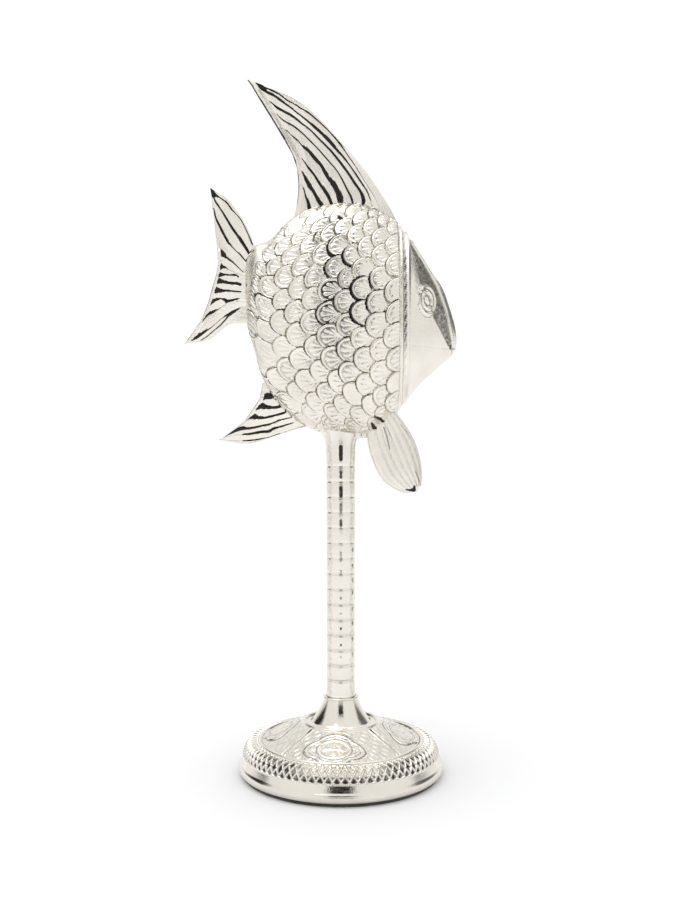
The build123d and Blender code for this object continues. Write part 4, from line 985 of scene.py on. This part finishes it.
# Plain studio: a pale floor in a white tent with a dark opening in front and a dark wing at each side
studio = dict(
    cameraPlace=(-0.0014, -0.540, 0.1829), lens=35.61, backdrop=1.05, softLight=1.06,
    tent=1.0, tentWarmth=0.985, opening=0.012, wings=(0.03, 0.16), crown=1.7, crownRise=(1.0, 1.35),
    floorShadowTone=(0.84, 0.842, 0.85), floorFar=(1.0, 1.0, 1.0), floorShadowReach=(0.06, 0.26), floorSize=40,
    floorGrain=12, floorRough=0.9, floorGloss=0.1,
    openingTurn=(-0.26, 0.26), openingRise=(-0.10, 0.74), openingSoft=0.035,
    gapRise=(0.10, 0.46), gapSoft=0.06, gapShare=0.85,  # a pale sheet across most of the opening
    wingTurn=(1.62, 2.40), wingRise=(0.22, 0.62), wingSoft=0.09,
    panelPlace=(-0.30, -0.25, 1.25), panelTarget=(0, 0, 0.15), panelSize=0.8, panelPower=2.6,
)


def makeFloor():
    deselectAll()
    bpy.ops.mesh.primitive_plane_add(size=studio["floorSize"])
    floor = bpy.context.object
    floor.name = "studioFloor"
    material, tree, shader, place = newMaterial("paleFloor")
    grain = addNoise(tree, place, studio["floorGrain"], 3)
    reach = tree.nodes.new("ShaderNodeVectorMath")  # painted shadow: darker round the object, and paler away from it so that no horizon shows
    reach.operation = "LENGTH"
    tree.links.new(place, reach.inputs[0])
    far = addSpread(tree, reach.outputs["Value"], 0, 1, *studio["floorShadowReach"])
    far = addMath(tree, "MULTIPLY", far, addSpread(tree, grain, 0.96, 1))
    tone = addColourMix(tree, far, studio["floorShadowTone"], studio["floorFar"])
    tree.links.new(tone, shader.inputs["Base Color"])
    shader.inputs["Roughness"].default_value = studio["floorRough"]
    shader.inputs["Specular IOR Level"].default_value = studio["floorGloss"]
    floor.data.materials.append(material)


def addPatch(tree, turn, rise, turnRange, riseRange, soft):  # a soft window of directions, 0 to 1
    patch = None
    for value, edges in ((turn, turnRange), (rise, riseRange)):
        for start, edge in enumerate(edges):  # rises over the low edge and falls over the high one
            part = addSpread(tree, value, start, 1 - start, edge - soft, edge + soft)
            patch = addMath(tree, "MULTIPLY", patch, part) if patch else part
    return patch


def addBackground(tree, colour, strength=1.0):
    background = tree.nodes.new("ShaderNodeBackground")
    background.inputs["Strength"].default_value = strength
    if isinstance(colour, tuple):
        background.inputs["Color"].default_value = (*colour, 1)
    else:
        tree.links.new(colour, background.inputs["Color"])
    return background.outputs["Background"]


def addShaderMix(tree, factor, first, second):
    mix = tree.nodes.new("ShaderNodeMixShader")
    for socket, source in zip(mix.inputs, (factor, first, second)):
        tree.links.new(source, socket)
    return mix.outputs["Shader"]


def makeTent():
    world = bpy.data.worlds.new("lightTent")
    bpy.context.scene.world = world
    world.use_nodes = True
    tree = world.node_tree
    tree.nodes.clear()
    split = tree.nodes.new("ShaderNodeSeparateXYZ")
    tree.links.new(tree.nodes.new("ShaderNodeTexCoord").outputs["Generated"], split.inputs["Vector"])
    x, y, z = (split.outputs[name] for name in "XYZ")
    turn = addMath(tree, "ARCTAN2", x, addMath(tree, "MULTIPLY", y, -1.0))  # 0 towards the camera
    rise = addMath(tree, "ARCSINE", z)
    front = studio["openingTurn"]
    opening = addPatch(tree, turn, rise, front, studio["openingRise"], studio["openingSoft"])
    gap = addPatch(tree, turn, rise, front, studio["gapRise"], studio["gapSoft"])
    opening = addMath(tree, "SUBTRACT", opening, addMath(tree, "MULTIPLY", gap, studio["gapShare"]))
    away = addMath(tree, "ABSOLUTE", turn)
    wings = addPatch(tree, away, rise, studio["wingTurn"], studio["wingRise"], studio["wingSoft"])
    leftWing, rightWing = ((value,) * 3 for value in studio["wings"])
    wingTone = addColourMix(tree, addSpread(tree, turn, 0, 1, -0.1, 0.1), leftWing, rightWing)
    white = (studio["tent"], studio["tent"], studio["tent"] * studio["tentWarmth"])
    crown = addSpread(tree, rise, 0, 1, *studio["crownRise"])
    tent = addColourMix(tree, crown, white, (studio["crown"],) * 3)
    tent = addColourMix(tree, wings, tent, wingTone)
    tent = addColourMix(tree, opening, tent, (studio["opening"],) * 3)
    rays = tree.nodes.new("ShaderNodeLightPath").outputs
    even = addBackground(tree, (1, 1, 1), studio["softLight"])  # what matt surfaces are lit by
    lit = addShaderMix(tree, rays["Is Diffuse Ray"], addBackground(tree, tent), even)
    backdrop = addBackground(tree, (1, 1, 1), studio["backdrop"])  # what the camera sees behind the object
    view = addShaderMix(tree, rays["Is Camera Ray"], lit, backdrop)
    tree.links.new(view, tree.nodes.new("ShaderNodeOutputWorld").inputs["Surface"])


def makePanel():  # one soft light from above the left
    deselectAll()
    bpy.ops.object.light_add(type="AREA", location=studio["panelPlace"])
    light = bpy.context.object
    light.name = "topPanel"
    light.data.size = studio["panelSize"]
    light.data.energy = studio["panelPower"]
    towards = Vector(studio["panelTarget"]) - Vector(studio["panelPlace"])
    light.rotation_euler = towards.to_track_quat("-Z", "Y").to_euler()


def makeCamera():
    deselectAll()
    bpy.ops.object.camera_add(location=studio["cameraPlace"], rotation=(math.pi / 2, 0, 0))
    camera = bpy.context.object
    camera.data.lens = studio["lens"]
    camera.data.clip_start = 0.01
    bpy.context.scene.camera = camera
    bpy.context.scene.view_settings.view_transform = "Standard"


makeFloor()
makeTent()
makePanel()
makeCamera()
print("studio made")
